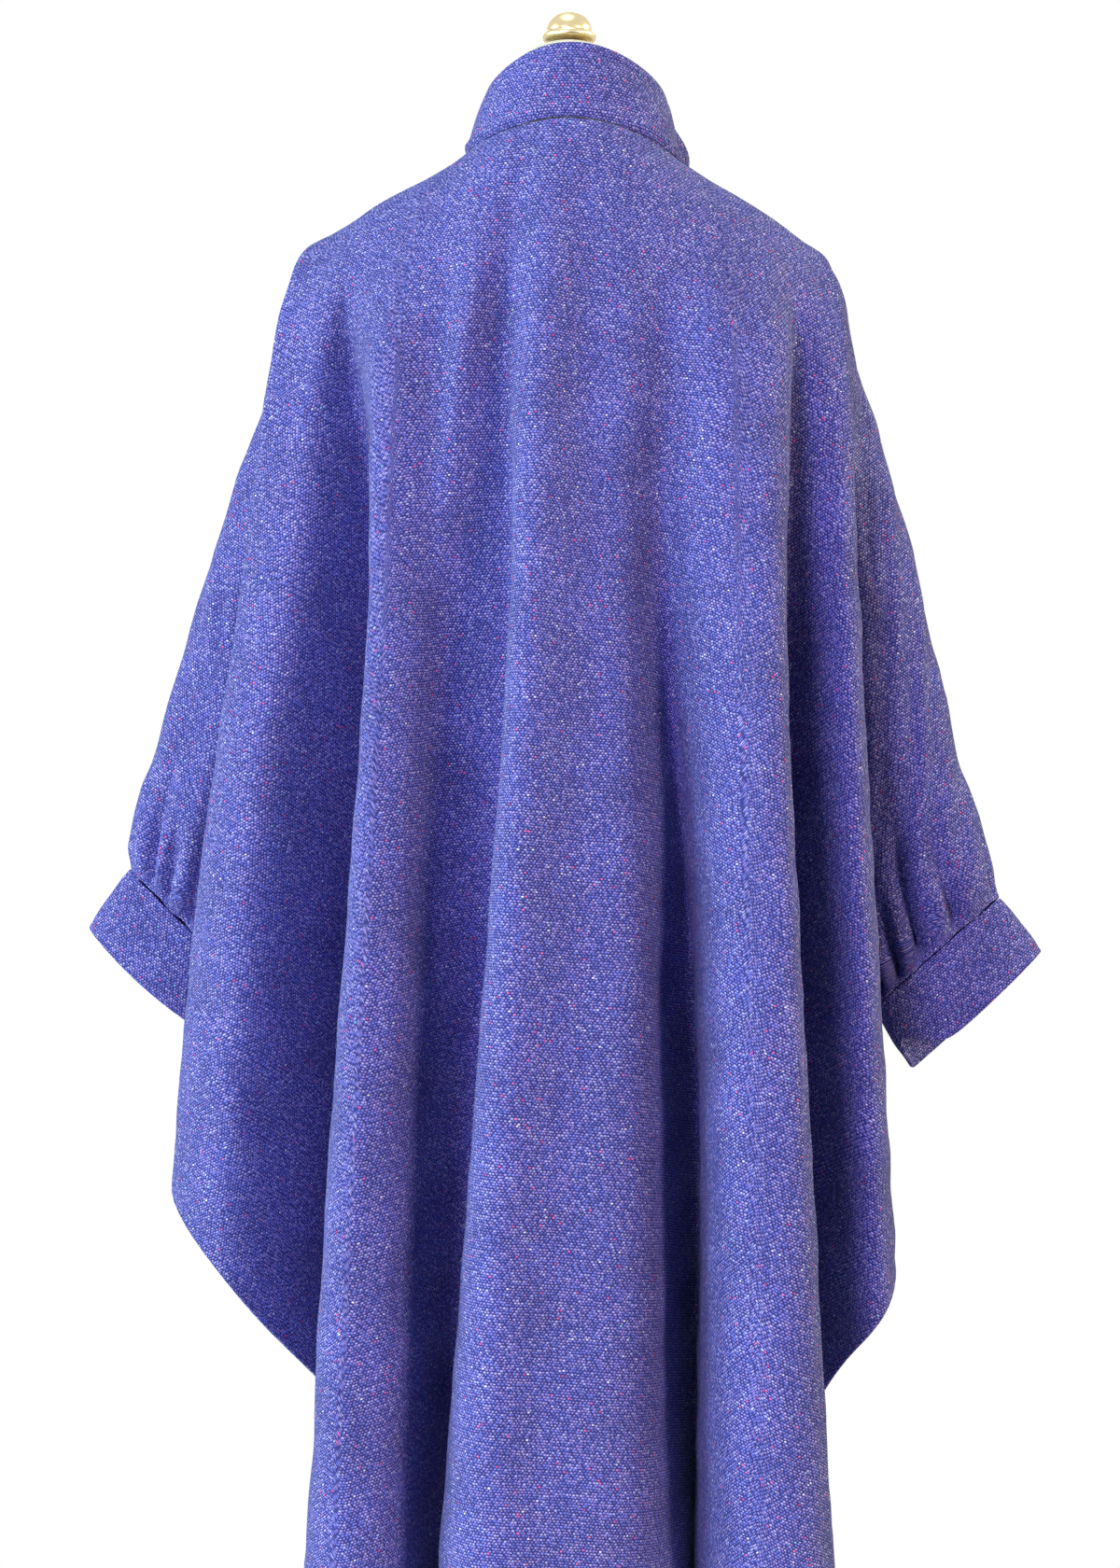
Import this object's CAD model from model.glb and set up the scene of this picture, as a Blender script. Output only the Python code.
"""Looks of a long cape coat of heavy wool tweed, worn by a limbless dress form.

Metres, +Z up. The coat's back faces -Y, and +X is to the right of someone who looks at that back. Each
cloth piece is a thin closed skin round a fine grid of points. The grid follows the piece's own solid, and a
UV layer holds lengths along the cloth in metres, so that the weave has its true size and follows each fold.
"""

import sys
import logging
import math
from dataclasses import dataclass, field
from enum import Enum
from typing import Any, NamedTuple, Sequence

import bpy
import numpy as np
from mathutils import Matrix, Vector


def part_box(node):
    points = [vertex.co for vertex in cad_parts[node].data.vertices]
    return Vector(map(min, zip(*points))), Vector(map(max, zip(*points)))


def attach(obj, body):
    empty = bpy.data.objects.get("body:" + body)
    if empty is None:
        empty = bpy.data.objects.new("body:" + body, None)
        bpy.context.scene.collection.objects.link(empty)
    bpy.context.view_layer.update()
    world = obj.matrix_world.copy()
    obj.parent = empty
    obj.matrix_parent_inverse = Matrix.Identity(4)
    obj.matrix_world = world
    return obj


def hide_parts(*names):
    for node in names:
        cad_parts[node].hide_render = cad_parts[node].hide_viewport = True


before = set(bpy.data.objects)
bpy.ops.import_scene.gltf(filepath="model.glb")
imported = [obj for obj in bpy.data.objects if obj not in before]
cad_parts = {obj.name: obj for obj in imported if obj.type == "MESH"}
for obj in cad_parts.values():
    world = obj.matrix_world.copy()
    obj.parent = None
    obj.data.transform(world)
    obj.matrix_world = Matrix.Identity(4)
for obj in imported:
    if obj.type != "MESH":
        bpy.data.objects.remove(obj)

Array = np.ndarray
Colour = tuple[float, float, float]
Object = bpy.types.Object
Material = bpy.types.Material

log = logging.getLogger("cape_coat")
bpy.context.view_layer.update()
BUTTON_COUNT = 4
NAP_SEEDS = {"back": 101, "front": 110, "sleeve": 120, "cuff": 130, "collar": 140}


class Side(Enum):
    """Left or right of someone who looks at the coat's back."""

    LEFT = -1
    RIGHT = 1

    @property
    def word(self) -> str:
        """The side as the nodes' names have it."""
        return self.name.lower()


class Fold(NamedTuple):
    """A fold line: its place on the top edge, its hem height, and its places at four heights."""

    name: str
    top_x: float
    hem_z: float
    x_blade: float
    y_blade: float
    x_waist: float
    y_waist: float
    x_hip: float
    y_hip: float
    x_hem: float
    y_hem: float


class SleeveRing(NamedTuple):
    """A flattened ring of a sleeve: where it is, its topmost and lowest points, depth and far side's drop."""

    at: float
    top_x: float
    top_y: float
    top_z: float
    low_x: float
    low_y: float
    low_z: float
    half_depth: float
    drop: float


class CuffHang(NamedTuple):
    """How far the middle of a cuff's free edge sags, and how far its low back corner is pulled."""

    sag: float
    pull_x: float
    pull_z: float


class Pleat(NamedTuple):
    """A pleat where a sleeve is gathered: its place around (0 at the top, then the back) and its shape."""

    around: float
    half_width: float
    depth: float
    start: float


class CollarSection(NamedTuple):
    """The collar's height and outward lean at an angle from the centre back."""

    degrees: float
    rise: float
    lean: float


class TorsoRing(NamedTuple):
    """A level ring of the dress form's torso."""

    z: float
    half_width: float
    back: float
    front: float


class Crease(NamedTuple):
    """A soft ridge, or a trough where its height is negative, along (along, across) places of a grid."""

    line: tuple[tuple[float, float], ...]
    half_width: float
    height: float


LEVELS = (1.25, 1.05, 0.72, 0.22)

BACK_FOLDS = (
    Fold("seam_left", -0.2180, 0.540, -0.219, -0.032, -0.221, -0.029, -0.228, 0.034, -0.240, 0.039),
    Fold("tuck_left", -0.2170, 0.550, -0.235, -0.036, -0.248, -0.042, -0.290, 0.008, -0.320, 0.030),
    Fold("roll_left", -0.2140, 0.540, -0.247, -0.043, -0.271, -0.055, -0.320, -0.018, -0.352, 0.000),
    Fold("side_left_crest", -0.1980, 0.476, -0.224, -0.057, -0.247, -0.084, -0.280, -0.086, -0.304, -0.078),
    Fold("side_left", -0.1720, 0.412, -0.206, -0.066, -0.216, -0.081, -0.238, -0.065, -0.249, -0.050),
    Fold("valley_1", -0.1440, 0.310, -0.185, -0.060, -0.160, -0.028, -0.168, 0.016, -0.196, 0.026),
    Fold("ridge_1_edge", -0.1150, 0.224, -0.165, -0.090, -0.161, -0.102, -0.182, -0.106, -0.213, -0.102),
    Fold("ridge_1", -0.0860, 0.212, -0.140, -0.107, -0.149, -0.137, -0.166, -0.175, -0.190, -0.202),
    Fold("ridge_1_face", -0.0680, 0.200, -0.110, -0.104, -0.122, -0.130, -0.136, -0.158, -0.150, -0.196),
    Fold("ridge_1_right", -0.0490, 0.190, -0.084, -0.116, -0.098, -0.114, -0.110, -0.110, -0.121, -0.124),
    Fold("valley_2", -0.0330, 0.184, -0.056, -0.103, -0.050, -0.106, -0.062, -0.082, -0.095, -0.054),
    Fold("ridge_2_edge", -0.0220, 0.178, -0.040, -0.118, -0.046, -0.132, -0.068, -0.140, -0.106, -0.142),
    Fold("ridge_2", -0.0080, 0.172, -0.020, -0.129, -0.030, -0.155, -0.052, -0.186, -0.082, -0.216),
    Fold("ridge_2_face", 0.0120, 0.168, 0.011, -0.122, 0.008, -0.142, -0.002, -0.176, -0.024, -0.216),
    Fold("ridge_2_right", 0.0320, 0.170, 0.046, -0.119, 0.044, -0.134, 0.058, -0.162, 0.060, -0.188),
    Fold("valley_3", 0.0500, 0.178, 0.082, -0.109, 0.078, -0.104, 0.104, -0.053, 0.106, -0.022),
    Fold("ridge_3_edge", 0.0720, 0.190, 0.106, -0.116, 0.107, -0.127, 0.114, -0.136, 0.111, -0.134),
    Fold("ridge_3", 0.0940, 0.202, 0.136, -0.114, 0.139, -0.140, 0.145, -0.172, 0.149, -0.190),
    Fold("ridge_3_right", 0.1220, 0.224, 0.167, -0.101, 0.168, -0.136, 0.180, -0.168, 0.200, -0.180),
    Fold("valley_4", 0.1460, 0.310, 0.190, -0.066, 0.184, -0.042, 0.184, -0.008, 0.204, 0.002),
    Fold("side_right", 0.1700, 0.388, 0.209, -0.062, 0.212, -0.063, 0.224, -0.045, 0.240, -0.026),
    Fold("side_right_crest", 0.1930, 0.424, 0.220, -0.056, 0.228, -0.074, 0.246, -0.070, 0.267, -0.050),
    Fold("roll_right", 0.2120, 0.472, 0.232, -0.044, 0.242, -0.052, 0.262, -0.018, 0.290, 0.000),
    Fold("tuck_right", 0.2170, 0.490, 0.227, -0.036, 0.235, -0.036, 0.248, 0.014, 0.270, 0.030),
    Fold("seam_right", 0.2180, 0.490, 0.219, -0.032, 0.221, -0.029, 0.228, 0.034, 0.240, 0.039),
)

FRONT_FOLDS = (
    Fold("seam", 0.2180, 0.500, 0.219, 0.055, 0.221, 0.073, 0.228, 0.036, 0.240, 0.041),
    Fold("side", 0.2000, 0.502, 0.204, 0.084, 0.204, 0.102, 0.224, 0.076, 0.244, 0.086),
    Fold("valley_1", 0.1700, 0.450, 0.172, 0.104, 0.174, 0.112, 0.196, 0.100, 0.212, 0.112),
    Fold("ridge_1", 0.1350, 0.370, 0.138, 0.122, 0.144, 0.146, 0.166, 0.166, 0.182, 0.190),
    Fold("valley_2", 0.1100, 0.300, 0.110, 0.120, 0.108, 0.130, 0.120, 0.124, 0.130, 0.126),
    Fold("ridge_2", 0.0940, 0.250, 0.080, 0.132, 0.078, 0.156, 0.086, 0.184, 0.094, 0.210),
    Fold("valley_3", 0.0740, 0.220, 0.056, 0.134, 0.056, 0.149, 0.057, 0.167, 0.058, 0.186),
    Fold("placket", 0.0400, 0.208, 0.036, 0.136, 0.036, 0.151, 0.036, 0.170, 0.036, 0.190),
    Fold("centre", 0.0040, 0.204, 0.004, 0.137, 0.004, 0.152, 0.004, 0.172, 0.004, 0.192),
    Fold("edge", -0.0240, 0.202, -0.022, 0.137, -0.022, 0.152, -0.022, 0.172, -0.022, 0.192),
)

SLEEVE_RINGS = {
    Side.LEFT: (
        SleeveRing(0.20, -0.246, 0.022, 1.256, -0.230, 0.062, 0.884, 0.046, 0.0),
        SleeveRing(0.50, -0.292, 0.040, 1.132, -0.240, 0.082, 0.835, 0.048, 0.0),
        SleeveRing(0.75, -0.346, 0.056, 0.962, -0.258, 0.084, 0.772, 0.045, 0.0),
        SleeveRing(0.90, -0.378, 0.062, 0.848, -0.270, 0.076, 0.728, 0.036, 0.0),
        SleeveRing(1.00, -0.386, 0.068, 0.801, -0.282, 0.072, 0.700, 0.022, 0.0),
    ),
    Side.RIGHT: (
        SleeveRing(0.20, 0.245, 0.022, 1.256, 0.230, 0.060, 0.884, 0.046, 0.0),
        SleeveRing(0.50, 0.286, 0.040, 1.128, 0.239, 0.080, 0.830, 0.048, 0.0),
        SleeveRing(0.75, 0.328, 0.056, 0.960, 0.250, 0.084, 0.762, 0.045, 0.0),
        SleeveRing(0.90, 0.360, 0.062, 0.836, 0.262, 0.076, 0.712, 0.036, 0.002),
        SleeveRing(1.00, 0.380, 0.068, 0.775, 0.272, 0.072, 0.678, 0.022, 0.006),
    ),
}

CUFF_ENDS = {
    Side.LEFT: SleeveRing(1.0, -0.424, 0.074, 0.748, -0.314, 0.074, 0.652, 0.026, 0.0),
    Side.RIGHT: SleeveRing(1.0, 0.418, 0.074, 0.727, 0.306, 0.074, 0.624, 0.027, 0.004),
}

CUFF_HANGS = {
    Side.LEFT: CuffHang(0.006, 0.0, 0.0),
    Side.RIGHT: CuffHang(0.003, -0.018, 0.020),
}

FRONT_SIDE_PLEATS = (
    Pleat(0.560, 0.022, 0.009, 0.76),
    Pleat(0.640, 0.018, 0.010, 0.72),
    Pleat(0.720, 0.018, 0.011, 0.76),
    Pleat(0.800, 0.018, 0.010, 0.72),
    Pleat(0.870, 0.016, 0.009, 0.78),
    Pleat(0.940, 0.018, 0.006, 0.80),
)

PLEATS = {
    Side.LEFT: (
        Pleat(0.045, 0.020, 0.004, 0.84),
        Pleat(0.130, 0.015, 0.014, 0.74),
        Pleat(0.185, 0.013, 0.015, 0.80),
        Pleat(0.250, 0.016, 0.020, 0.70),
        Pleat(0.325, 0.018, 0.017, 0.76),
        Pleat(0.410, 0.022, 0.009, 0.78),
        *FRONT_SIDE_PLEATS,
    ),
    Side.RIGHT: (
        Pleat(0.060, 0.018, 0.004, 0.84),
        Pleat(0.200, 0.015, 0.016, 0.80),
        Pleat(0.288, 0.018, 0.028, 0.64),
        Pleat(0.356, 0.014, 0.020, 0.76),
        Pleat(0.425, 0.016, 0.016, 0.78),
        *FRONT_SIDE_PLEATS,
    ),
}

COLLAR_SECTIONS = (
    CollarSection(-166, 0.0380, 0.032),
    CollarSection(-146, 0.0470, 0.029),
    CollarSection(-126, 0.0525, 0.019),
    CollarSection(-117, 0.0545, 0.004),
    CollarSection(-108, 0.0550, -0.010),
    CollarSection(-96, 0.0540, -0.018),
    CollarSection(-72, 0.0534, -0.016),
    CollarSection(-50, 0.0570, -0.012),
    CollarSection(-22, 0.0625, -0.009),
    CollarSection(0, 0.0640, -0.008),
    CollarSection(30, 0.0638, -0.009),
    CollarSection(55, 0.0616, -0.011),
    CollarSection(78, 0.0590, -0.013),
    CollarSection(98, 0.0595, -0.012),
    CollarSection(108, 0.0590, -0.006),
    CollarSection(117, 0.0560, 0.011),
    CollarSection(126, 0.0535, 0.034),
    CollarSection(136, 0.0510, 0.050),
    CollarSection(150, 0.0460, 0.056),
    CollarSection(166, 0.0390, 0.054),
)

TORSO_RINGS = (
    TorsoRing(0.800, 0.125, 0.066, 0.066),
    TorsoRing(0.806, 0.137, 0.076, 0.076),
    TorsoRing(0.830, 0.146, 0.084, 0.086),
    TorsoRing(0.880, 0.146, 0.088, 0.090),
    TorsoRing(0.960, 0.128, 0.080, 0.084),
    TorsoRing(1.040, 0.136, 0.086, 0.094),
    TorsoRing(1.130, 0.156, 0.094, 0.110),
    TorsoRing(1.220, 0.176, 0.098, 0.106),
    TorsoRing(1.285, 0.190, 0.088, 0.082),
    TorsoRing(1.3239, 0.186, 0.070, 0.060),
    TorsoRing(1.3499, 0.167, 0.056, 0.046),
    TorsoRing(1.3729, 0.136, 0.050, 0.043),
    TorsoRing(1.3969, 0.096, 0.050, 0.046),
    TorsoRing(1.4169, 0.068, 0.053, 0.050),
    TorsoRing(1.439, 0.056, 0.055, 0.054),
    TorsoRing(1.4627, 0.054, 0.054, 0.054),
)

# Places along are heights with their sign turned, and places across count the folds from the left seam.
BACK_CREASES = (
    Crease(((-1.380, 6.6), (-1.240, 6.9), (-1.020, 7.0)), 0.70, 0.0020),
    Crease(((-1.370, 8.0), (-1.220, 8.2), (-1.020, 8.3)), 0.40, -0.0018),
    Crease(((-1.370, 8.9), (-1.200, 9.0), (-0.980, 8.8)), 0.42, 0.0026),
    Crease(((-1.390, 10.2), (-1.240, 10.1), (-1.020, 10.0)), 0.50, -0.0018),
    Crease(((-1.390, 12.1), (-1.220, 11.9), (-1.050, 12.0)), 0.60, 0.0022),
    Crease(((-1.370, 13.2), (-1.240, 13.1), (-1.080, 13.0)), 0.45, -0.0016),
    Crease(((-1.370, 14.3), (-1.240, 14.0), (-1.100, 13.9)), 0.50, 0.0014),
    Crease(((-1.390, 16.0), (-1.240, 15.8), (-1.100, 15.6)), 0.50, -0.0018),
    Crease(((-1.390, 17.9), (-1.240, 17.8), (-1.060, 17.8)), 0.60, 0.0022),
    Crease(((-0.980, 7.6), (-0.760, 7.9), (-0.560, 7.7)), 0.30, 0.0016),
    Crease(((-0.860, 13.2), (-0.620, 13.0), (-0.380, 13.3)), 0.40, -0.0022),
    Crease(((-0.700, 12.4), (-0.480, 12.2), (-0.240, 12.5)), 0.30, 0.0018),
    Crease(((-0.920, 17.4), (-0.700, 17.5), (-0.440, 17.3)), 0.35, -0.0016),
    Crease(((-0.600, 7.6), (-0.440, 7.4), (-0.230, 7.7)), 0.30, -0.0020),
    Crease(((-0.900, 3.5), (-0.740, 3.4), (-0.520, 3.6)), 0.40, -0.0018),
    Crease(((-0.900, 20.6), (-0.700, 20.5), (-0.500, 20.7)), 0.40, 0.0014),
    Crease(((-0.860, 14.45), (-0.600, 14.45), (-0.190, 14.45)), 0.36, -0.0130),
    Crease(((-0.900, 4.95), (-0.700, 4.95), (-0.260, 4.95)), 0.45, -0.0120),
    Crease(((-0.800, 9.7), (-0.500, 9.7), (-0.190, 9.7)), 0.40, -0.0080),
)


# ---------------------------------------------------------------- curves, grids and skins
# Shares of a cloth's first gap that have a sample of their own, where its edge is rounded.
EASED_SHARES = (0.03, 0.09, 0.2, 0.4, 0.7)
WAVE_COUNT = 14
WAVE_SPREAD = (0.7, 1.8)
# Share of its length over which a crease fades at either end.
CREASE_EASE = 0.3
# A tube that climbs more than this is upright.
UPRIGHT_CLIMB = 0.8
SHARP_DEGREES = 40
# Least height of a triangle that is laid flat, as a share of its last edge.
LEAST_HEIGHT = 0.05
STIFFNESS_LIMITS = (0.05, 20)
SHORTEST = 1e-12


def smooth_step(value: Array | float) -> Array:
    """Rise from 0 to 1 with level ends, held outside them."""
    value = np.clip(value, 0, 1)
    return value * value * (3 - 2 * value)


def unit(vectors: Array) -> Array:
    """Vectors of length one along the given ones."""
    return vectors / np.maximum(np.linalg.norm(vectors, axis=-1, keepdims=True), SHORTEST)


def run_lengths(points: Array | Sequence[Sequence[float]], axis: int = 0) -> Array:
    """Length from the first point to each one, along an axis of a path or a grid."""
    steps = np.linalg.norm(np.diff(points, axis=axis), axis=-1)
    start = np.zeros_like(np.take(steps, [0], axis=axis))
    return np.concatenate([start, np.cumsum(steps, axis=axis)], axis=axis)


def wrapped(grid: Array) -> Array:
    """A grid with its first column again after its last."""
    return np.concatenate([grid, grid[:, :1]], axis=1)


def cell_areas(grid: Array) -> Array:
    """Area of each cell of a grid of points."""
    a = grid[1:, 1:] - grid[:-1, :-1]
    b = grid[1:, :-1] - grid[:-1, 1:]
    return np.linalg.norm(np.cross(a, b), axis=2) / 2


def level_rings(across: Array, deep: Array, heights: Array, turn: Array) -> Array:
    """Points of level elliptic rings, [ring, place, 3], from half widths, half depths and heights."""
    return np.stack(np.broadcast_arrays(across * np.cos(turn), deep * np.sin(turn), heights), axis=-1)


def spline_weights(knots: Sequence[float], samples: Sequence[float]) -> Array:
    """Weigh the values at the knots so that they follow their natural cubic spline.

    Args:
        knots: Where the values are given, rising.
        samples: Where they are wanted. Past either end the spline goes on as a straight line.

    Returns:
        Matrix [sample, knot].
    """
    knots = np.asarray(knots, float)
    samples = np.asarray(samples, float)
    count = len(knots)
    step = np.diff(knots)
    system = np.eye(count)
    bends = np.zeros((count, count))
    for i in range(1, count - 1):
        system[i, i - 1 : i + 2] = step[i - 1], 2 * (step[i - 1] + step[i]), step[i]
        bends[i, i - 1 : i + 2] = 6 / step[i - 1], -6 / step[i - 1] - 6 / step[i], 6 / step[i]
    second = np.linalg.solve(system, bends)
    inside = np.clip(samples, knots[0], knots[-1])
    left = np.clip(np.searchsorted(knots, inside) - 1, 0, count - 2)
    rows = np.arange(len(samples))
    width = step[left]
    after = (inside - knots[left]) / width
    before = 1 - after
    weights = np.zeros((len(samples), count))
    weights[rows, left] += before
    weights[rows, left + 1] += after
    weights += ((before**3 - before) * width**2 / 6)[:, None] * second[left]
    weights += ((after**3 - after) * width**2 / 6)[:, None] * second[left + 1]
    for end, (a, b) in ((0, (0, 1)), (count - 1, (count - 2, count - 1))):
        slope = -second[b if end == 0 else a] * step[a] / 6 * (1 if end == 0 else -1)
        slope[a] -= 1 / step[a]
        slope[b] += 1 / step[a]
        past = samples < knots[0] if end == 0 else samples > knots[-1]
        weights[past] += (samples - inside)[past, None] * slope
    return weights


def eased(samples: Array, start: bool = True, end: bool = True) -> Array:
    """Add samples close to the ends, where a cloth's edge is rounded.

    Args:
        samples: Rising samples.
        start: Whether the first gap is divided.
        end: Whether the last gap is divided.

    Returns:
        The samples and the added ones, rising.
    """
    shares = np.array(EASED_SHARES)
    parts = [samples]
    if start:
        parts.append(samples[0] + shares * (samples[1] - samples[0]))
    if end:
        parts.append(samples[-1] - shares * (samples[-1] - samples[-2]))
    return np.sort(np.concatenate(parts))


def unevenness(u: Array, v: Array, wavelength: float, seed: int) -> Array:
    """Soft seeded waves over a cloth, the same in every run.

    Args:
        u: Lengths across, in metres.
        v: Lengths down, in metres.
        wavelength: Usual distance between two crests, in metres.
        seed: Chooses the waves.

    Returns:
        Heights of about -1 to 1.
    """
    chance = np.random.default_rng(seed)
    total = np.zeros_like(u)
    for _ in range(WAVE_COUNT):
        turn = chance.uniform(0, math.pi)
        length = wavelength * chance.uniform(*WAVE_SPREAD)
        phase = chance.uniform(0, 2 * math.pi)
        total += np.sin(2 * math.pi / length * (u * math.cos(turn) + v * math.sin(turn)) + phase)
    return total / math.sqrt(WAVE_COUNT)


def crease_heights(creases: Sequence[Crease], along: Array, across: Array) -> Array:
    """Heights that creases give a surface.

    Args:
        creases: The ridges and troughs. Their lines run towards greater along values.
        along: Place of each point along the creases.
        across: Place of each point across them.

    Returns:
        Height of each point.
    """
    heights = np.zeros_like(along)
    for crease in creases:
        line = np.array(crease.line)
        apart = across - np.interp(along, line[:, 0], line[:, 1])
        ease = CREASE_EASE * (line[-1, 0] - line[0, 0])
        fade = smooth_step((along - line[0, 0]) / ease) * smooth_step((line[-1, 0] - along) / ease)
        heights += crease.height * fade * np.exp(-((apart / crease.half_width) ** 2))
    return heights


def new_object(name: str, points: Array, faces: Sequence[Sequence[int]], uv: Array | None = None) -> Object:
    """Make a smooth mesh object in the scene.

    Args:
        name: The piece's name.
        points: Its vertices, [n, 3].
        faces: The vertices of each face.
        uv: Places on the cloth of each face's corners, [face, corner, 2], in metres.

    Returns:
        The object.
    """
    mesh = bpy.data.meshes.new(name)
    mesh.from_pydata(np.asarray(points).tolist(), [], [tuple(face) for face in faces])
    if uv is not None:
        mesh.uv_layers.new(name="lay").data.foreach_set("uv", np.asarray(uv, "f").ravel())
    mesh.shade_smooth()
    piece = bpy.data.objects.new(name, mesh)
    bpy.context.scene.collection.objects.link(piece)
    return piece


def dress(piece: Object, material: Material, slot: str, *nodes: str) -> Object:
    """Give a piece its finish, and tell the frame what it rides on and stands for."""
    piece.data.materials.append(material)
    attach(piece, "root")
    if nodes:
        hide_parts(*nodes)
    log.info("%s: %d faces", piece.name, len(piece.data.polygons))
    return piece


def tubes(paths: Array, radii: Array, sides: int) -> tuple[Array, list[tuple[int, ...]]]:
    """Closed tubes along paths.

    Args:
        paths: Points of every tube, [tube, station, 3].
        radii: Radius at every station, [tube, station].
        sides: Sides of a tube.

    Returns:
        Their vertices, and their faces.
    """
    count, stations = paths.shape[:2]
    along = unit(np.gradient(paths, axis=1))
    upright = abs(along.mean(axis=1)[:, 2]) > UPRIGHT_CLIMB
    helper = np.where(upright[:, None], (1.0, 0.0, 0.0), (0.0, 0.0, 1.0))[:, None]
    first = unit(np.cross(along, helper))
    second = np.cross(along, first)
    turn = np.linspace(0, 2 * math.pi, sides, endpoint=False)[:, None]
    ring = np.cos(turn) * first[:, :, None] + np.sin(turn) * second[:, :, None]
    walls = (paths[:, :, None] + radii[:, :, None, None] * ring).reshape(count, -1, 3)
    low = paths[:, :1] - along[:, :1] * radii[:, :1, None]
    high = paths[:, -1:] + along[:, -1:] * radii[:, -1:, None]
    points = np.concatenate([walls, low, high], axis=1)
    pattern: list[tuple[int, ...]] = []
    last = stations * sides
    for s in range(sides):
        k = (s + 1) % sides
        for i in range(stations - 1):
            a, b = i * sides, (i + 1) * sides
            pattern.append((a + s, a + k, b + k, b + s))
        pattern.append((last, k, s))
        pattern.append((last + 1, last - sides + s, last - sides + k))
    each = points.shape[1]
    faces = [tuple(n * each + i for i in face) for n in range(count) for face in pattern]
    return points.reshape(-1, 3), faces


def turned(name: str, profile: Sequence[tuple[float, float]], steps: int = 96) -> Object:
    """Turn a profile round the Z axis.

    Args:
        name: The piece's name.
        profile: (radius, z) points from the top on the axis, down the outer side, to the axis again.
        steps: Divisions round the axis.

    Returns:
        The object, with a UV layer in metres.
    """
    table = np.array(profile[1:-1])
    turn = np.linspace(0, 2 * math.pi, steps, endpoint=False)
    walls = level_rings(table[:, :1], table[:, :1], table[:, 1:], turn)
    count = len(table) * steps
    points = np.concatenate([walls.reshape(-1, 3), [(0, 0, profile[0][1]), (0, 0, profile[-1][1])]])
    down = run_lengths(profile)
    around = table[:, 0].max() * np.linspace(0, 2 * math.pi, steps + 1)
    faces: list[tuple[int, ...]] = []
    corners: list[tuple[float, float]] = []
    for j in range(steps):
        k = (j + 1) % steps
        faces.append((count, j, k))
        corners += [(around[j], down[0]), (around[j], down[1]), (around[j + 1], down[1])]
        for i in range(len(table) - 1):
            a, b = i * steps, (i + 1) * steps
            faces.append((a + j, b + j, b + k, a + k))
            corners += [(around[m], down[i + n]) for m, n in ((j, 1), (j, 2), (j + 1, 2), (j + 1, 1))]
        low = (len(table) - 1) * steps
        faces.append((count + 1, low + k, low + j))
        corners += [(around[j], down[-1]), (around[j + 1], down[-2]), (around[j], down[-2])]
    piece = new_object(name, points, faces, np.array(corners))
    piece.data.set_sharp_from_angle(angle=math.radians(SHARP_DEGREES))
    return piece


def arc(centre_z: float, across: float, up: float, start: float, end: float, steps: int) -> list:
    """Points (radius, z) of a turned profile's elliptic arc, with angles in degrees up from level."""
    angles = np.radians(np.linspace(start, end, steps + 1))
    return [(across * math.cos(a), centre_z + up * math.sin(a)) for a in angles]


def laid_flat(corners: Array, lengths: Array, start: Array, rounds: int = 60) -> Array:
    """Lay a sheet of triangles flat, each of them as rigid as its neighbours let it be.

    Args:
        corners: The numbers of each triangle's corners, [triangle, 3], anticlockwise.
        lengths: The lengths of the edges that leave those corners, [triangle, 3].
        start: A first guess at the flat places, [corner, 2].
        rounds: How often they settle.

    Returns:
        Flat places, [corner, 2].
    """
    one, two, three = lengths.T
    x = (one**2 + three**2 - two**2) / (2 * one)
    rest = np.zeros((len(corners), 3, 2))
    rest[:, 1, 0] = one
    rest[:, 2, 0] = x
    rest[:, 2, 1] = np.sqrt(np.maximum(three**2 - x**2, (LEAST_HEIGHT * three) ** 2))
    ends = np.roll(corners, -1, axis=1)
    edges = rest - np.roll(rest, -1, axis=1)
    opposite = np.roll(rest, -2, axis=1)
    near, far = rest - opposite, np.roll(rest, -1, axis=1) - opposite
    cross = near[..., 0] * far[..., 1] - near[..., 1] * far[..., 0]
    weights = np.clip((near * far).sum(axis=-1) / abs(cross), *STIFFNESS_LIMITS)
    stiffness = np.zeros((len(start), len(start)))
    for a, b, sign in ((corners, corners, 1), (ends, ends, 1), (corners, ends, -1), (ends, corners, -1)):
        np.add.at(stiffness, (a, b), sign * weights)
    stiffness[0, 0] += 1.0
    inverse = np.linalg.inv(stiffness)
    places = start
    for _ in range(rounds):
        fit = np.einsum("tk,tki,tkj->tij", weights, places[corners] - places[ends], edges)
        turn = np.arctan2(fit[:, 1, 0] - fit[:, 0, 1], fit[:, 0, 0] + fit[:, 1, 1])
        cos, sin = np.cos(turn)[:, None], np.sin(turn)[:, None]
        turned = (cos * edges[..., 0] - sin * edges[..., 1], sin * edges[..., 0] + cos * edges[..., 1])
        spans = weights[..., None] * np.stack(turned, axis=-1)
        pulls = np.zeros_like(start)
        np.add.at(pulls, corners, spans)
        np.add.at(pulls, ends, -spans)
        places = inverse @ pulls
    return places


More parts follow.
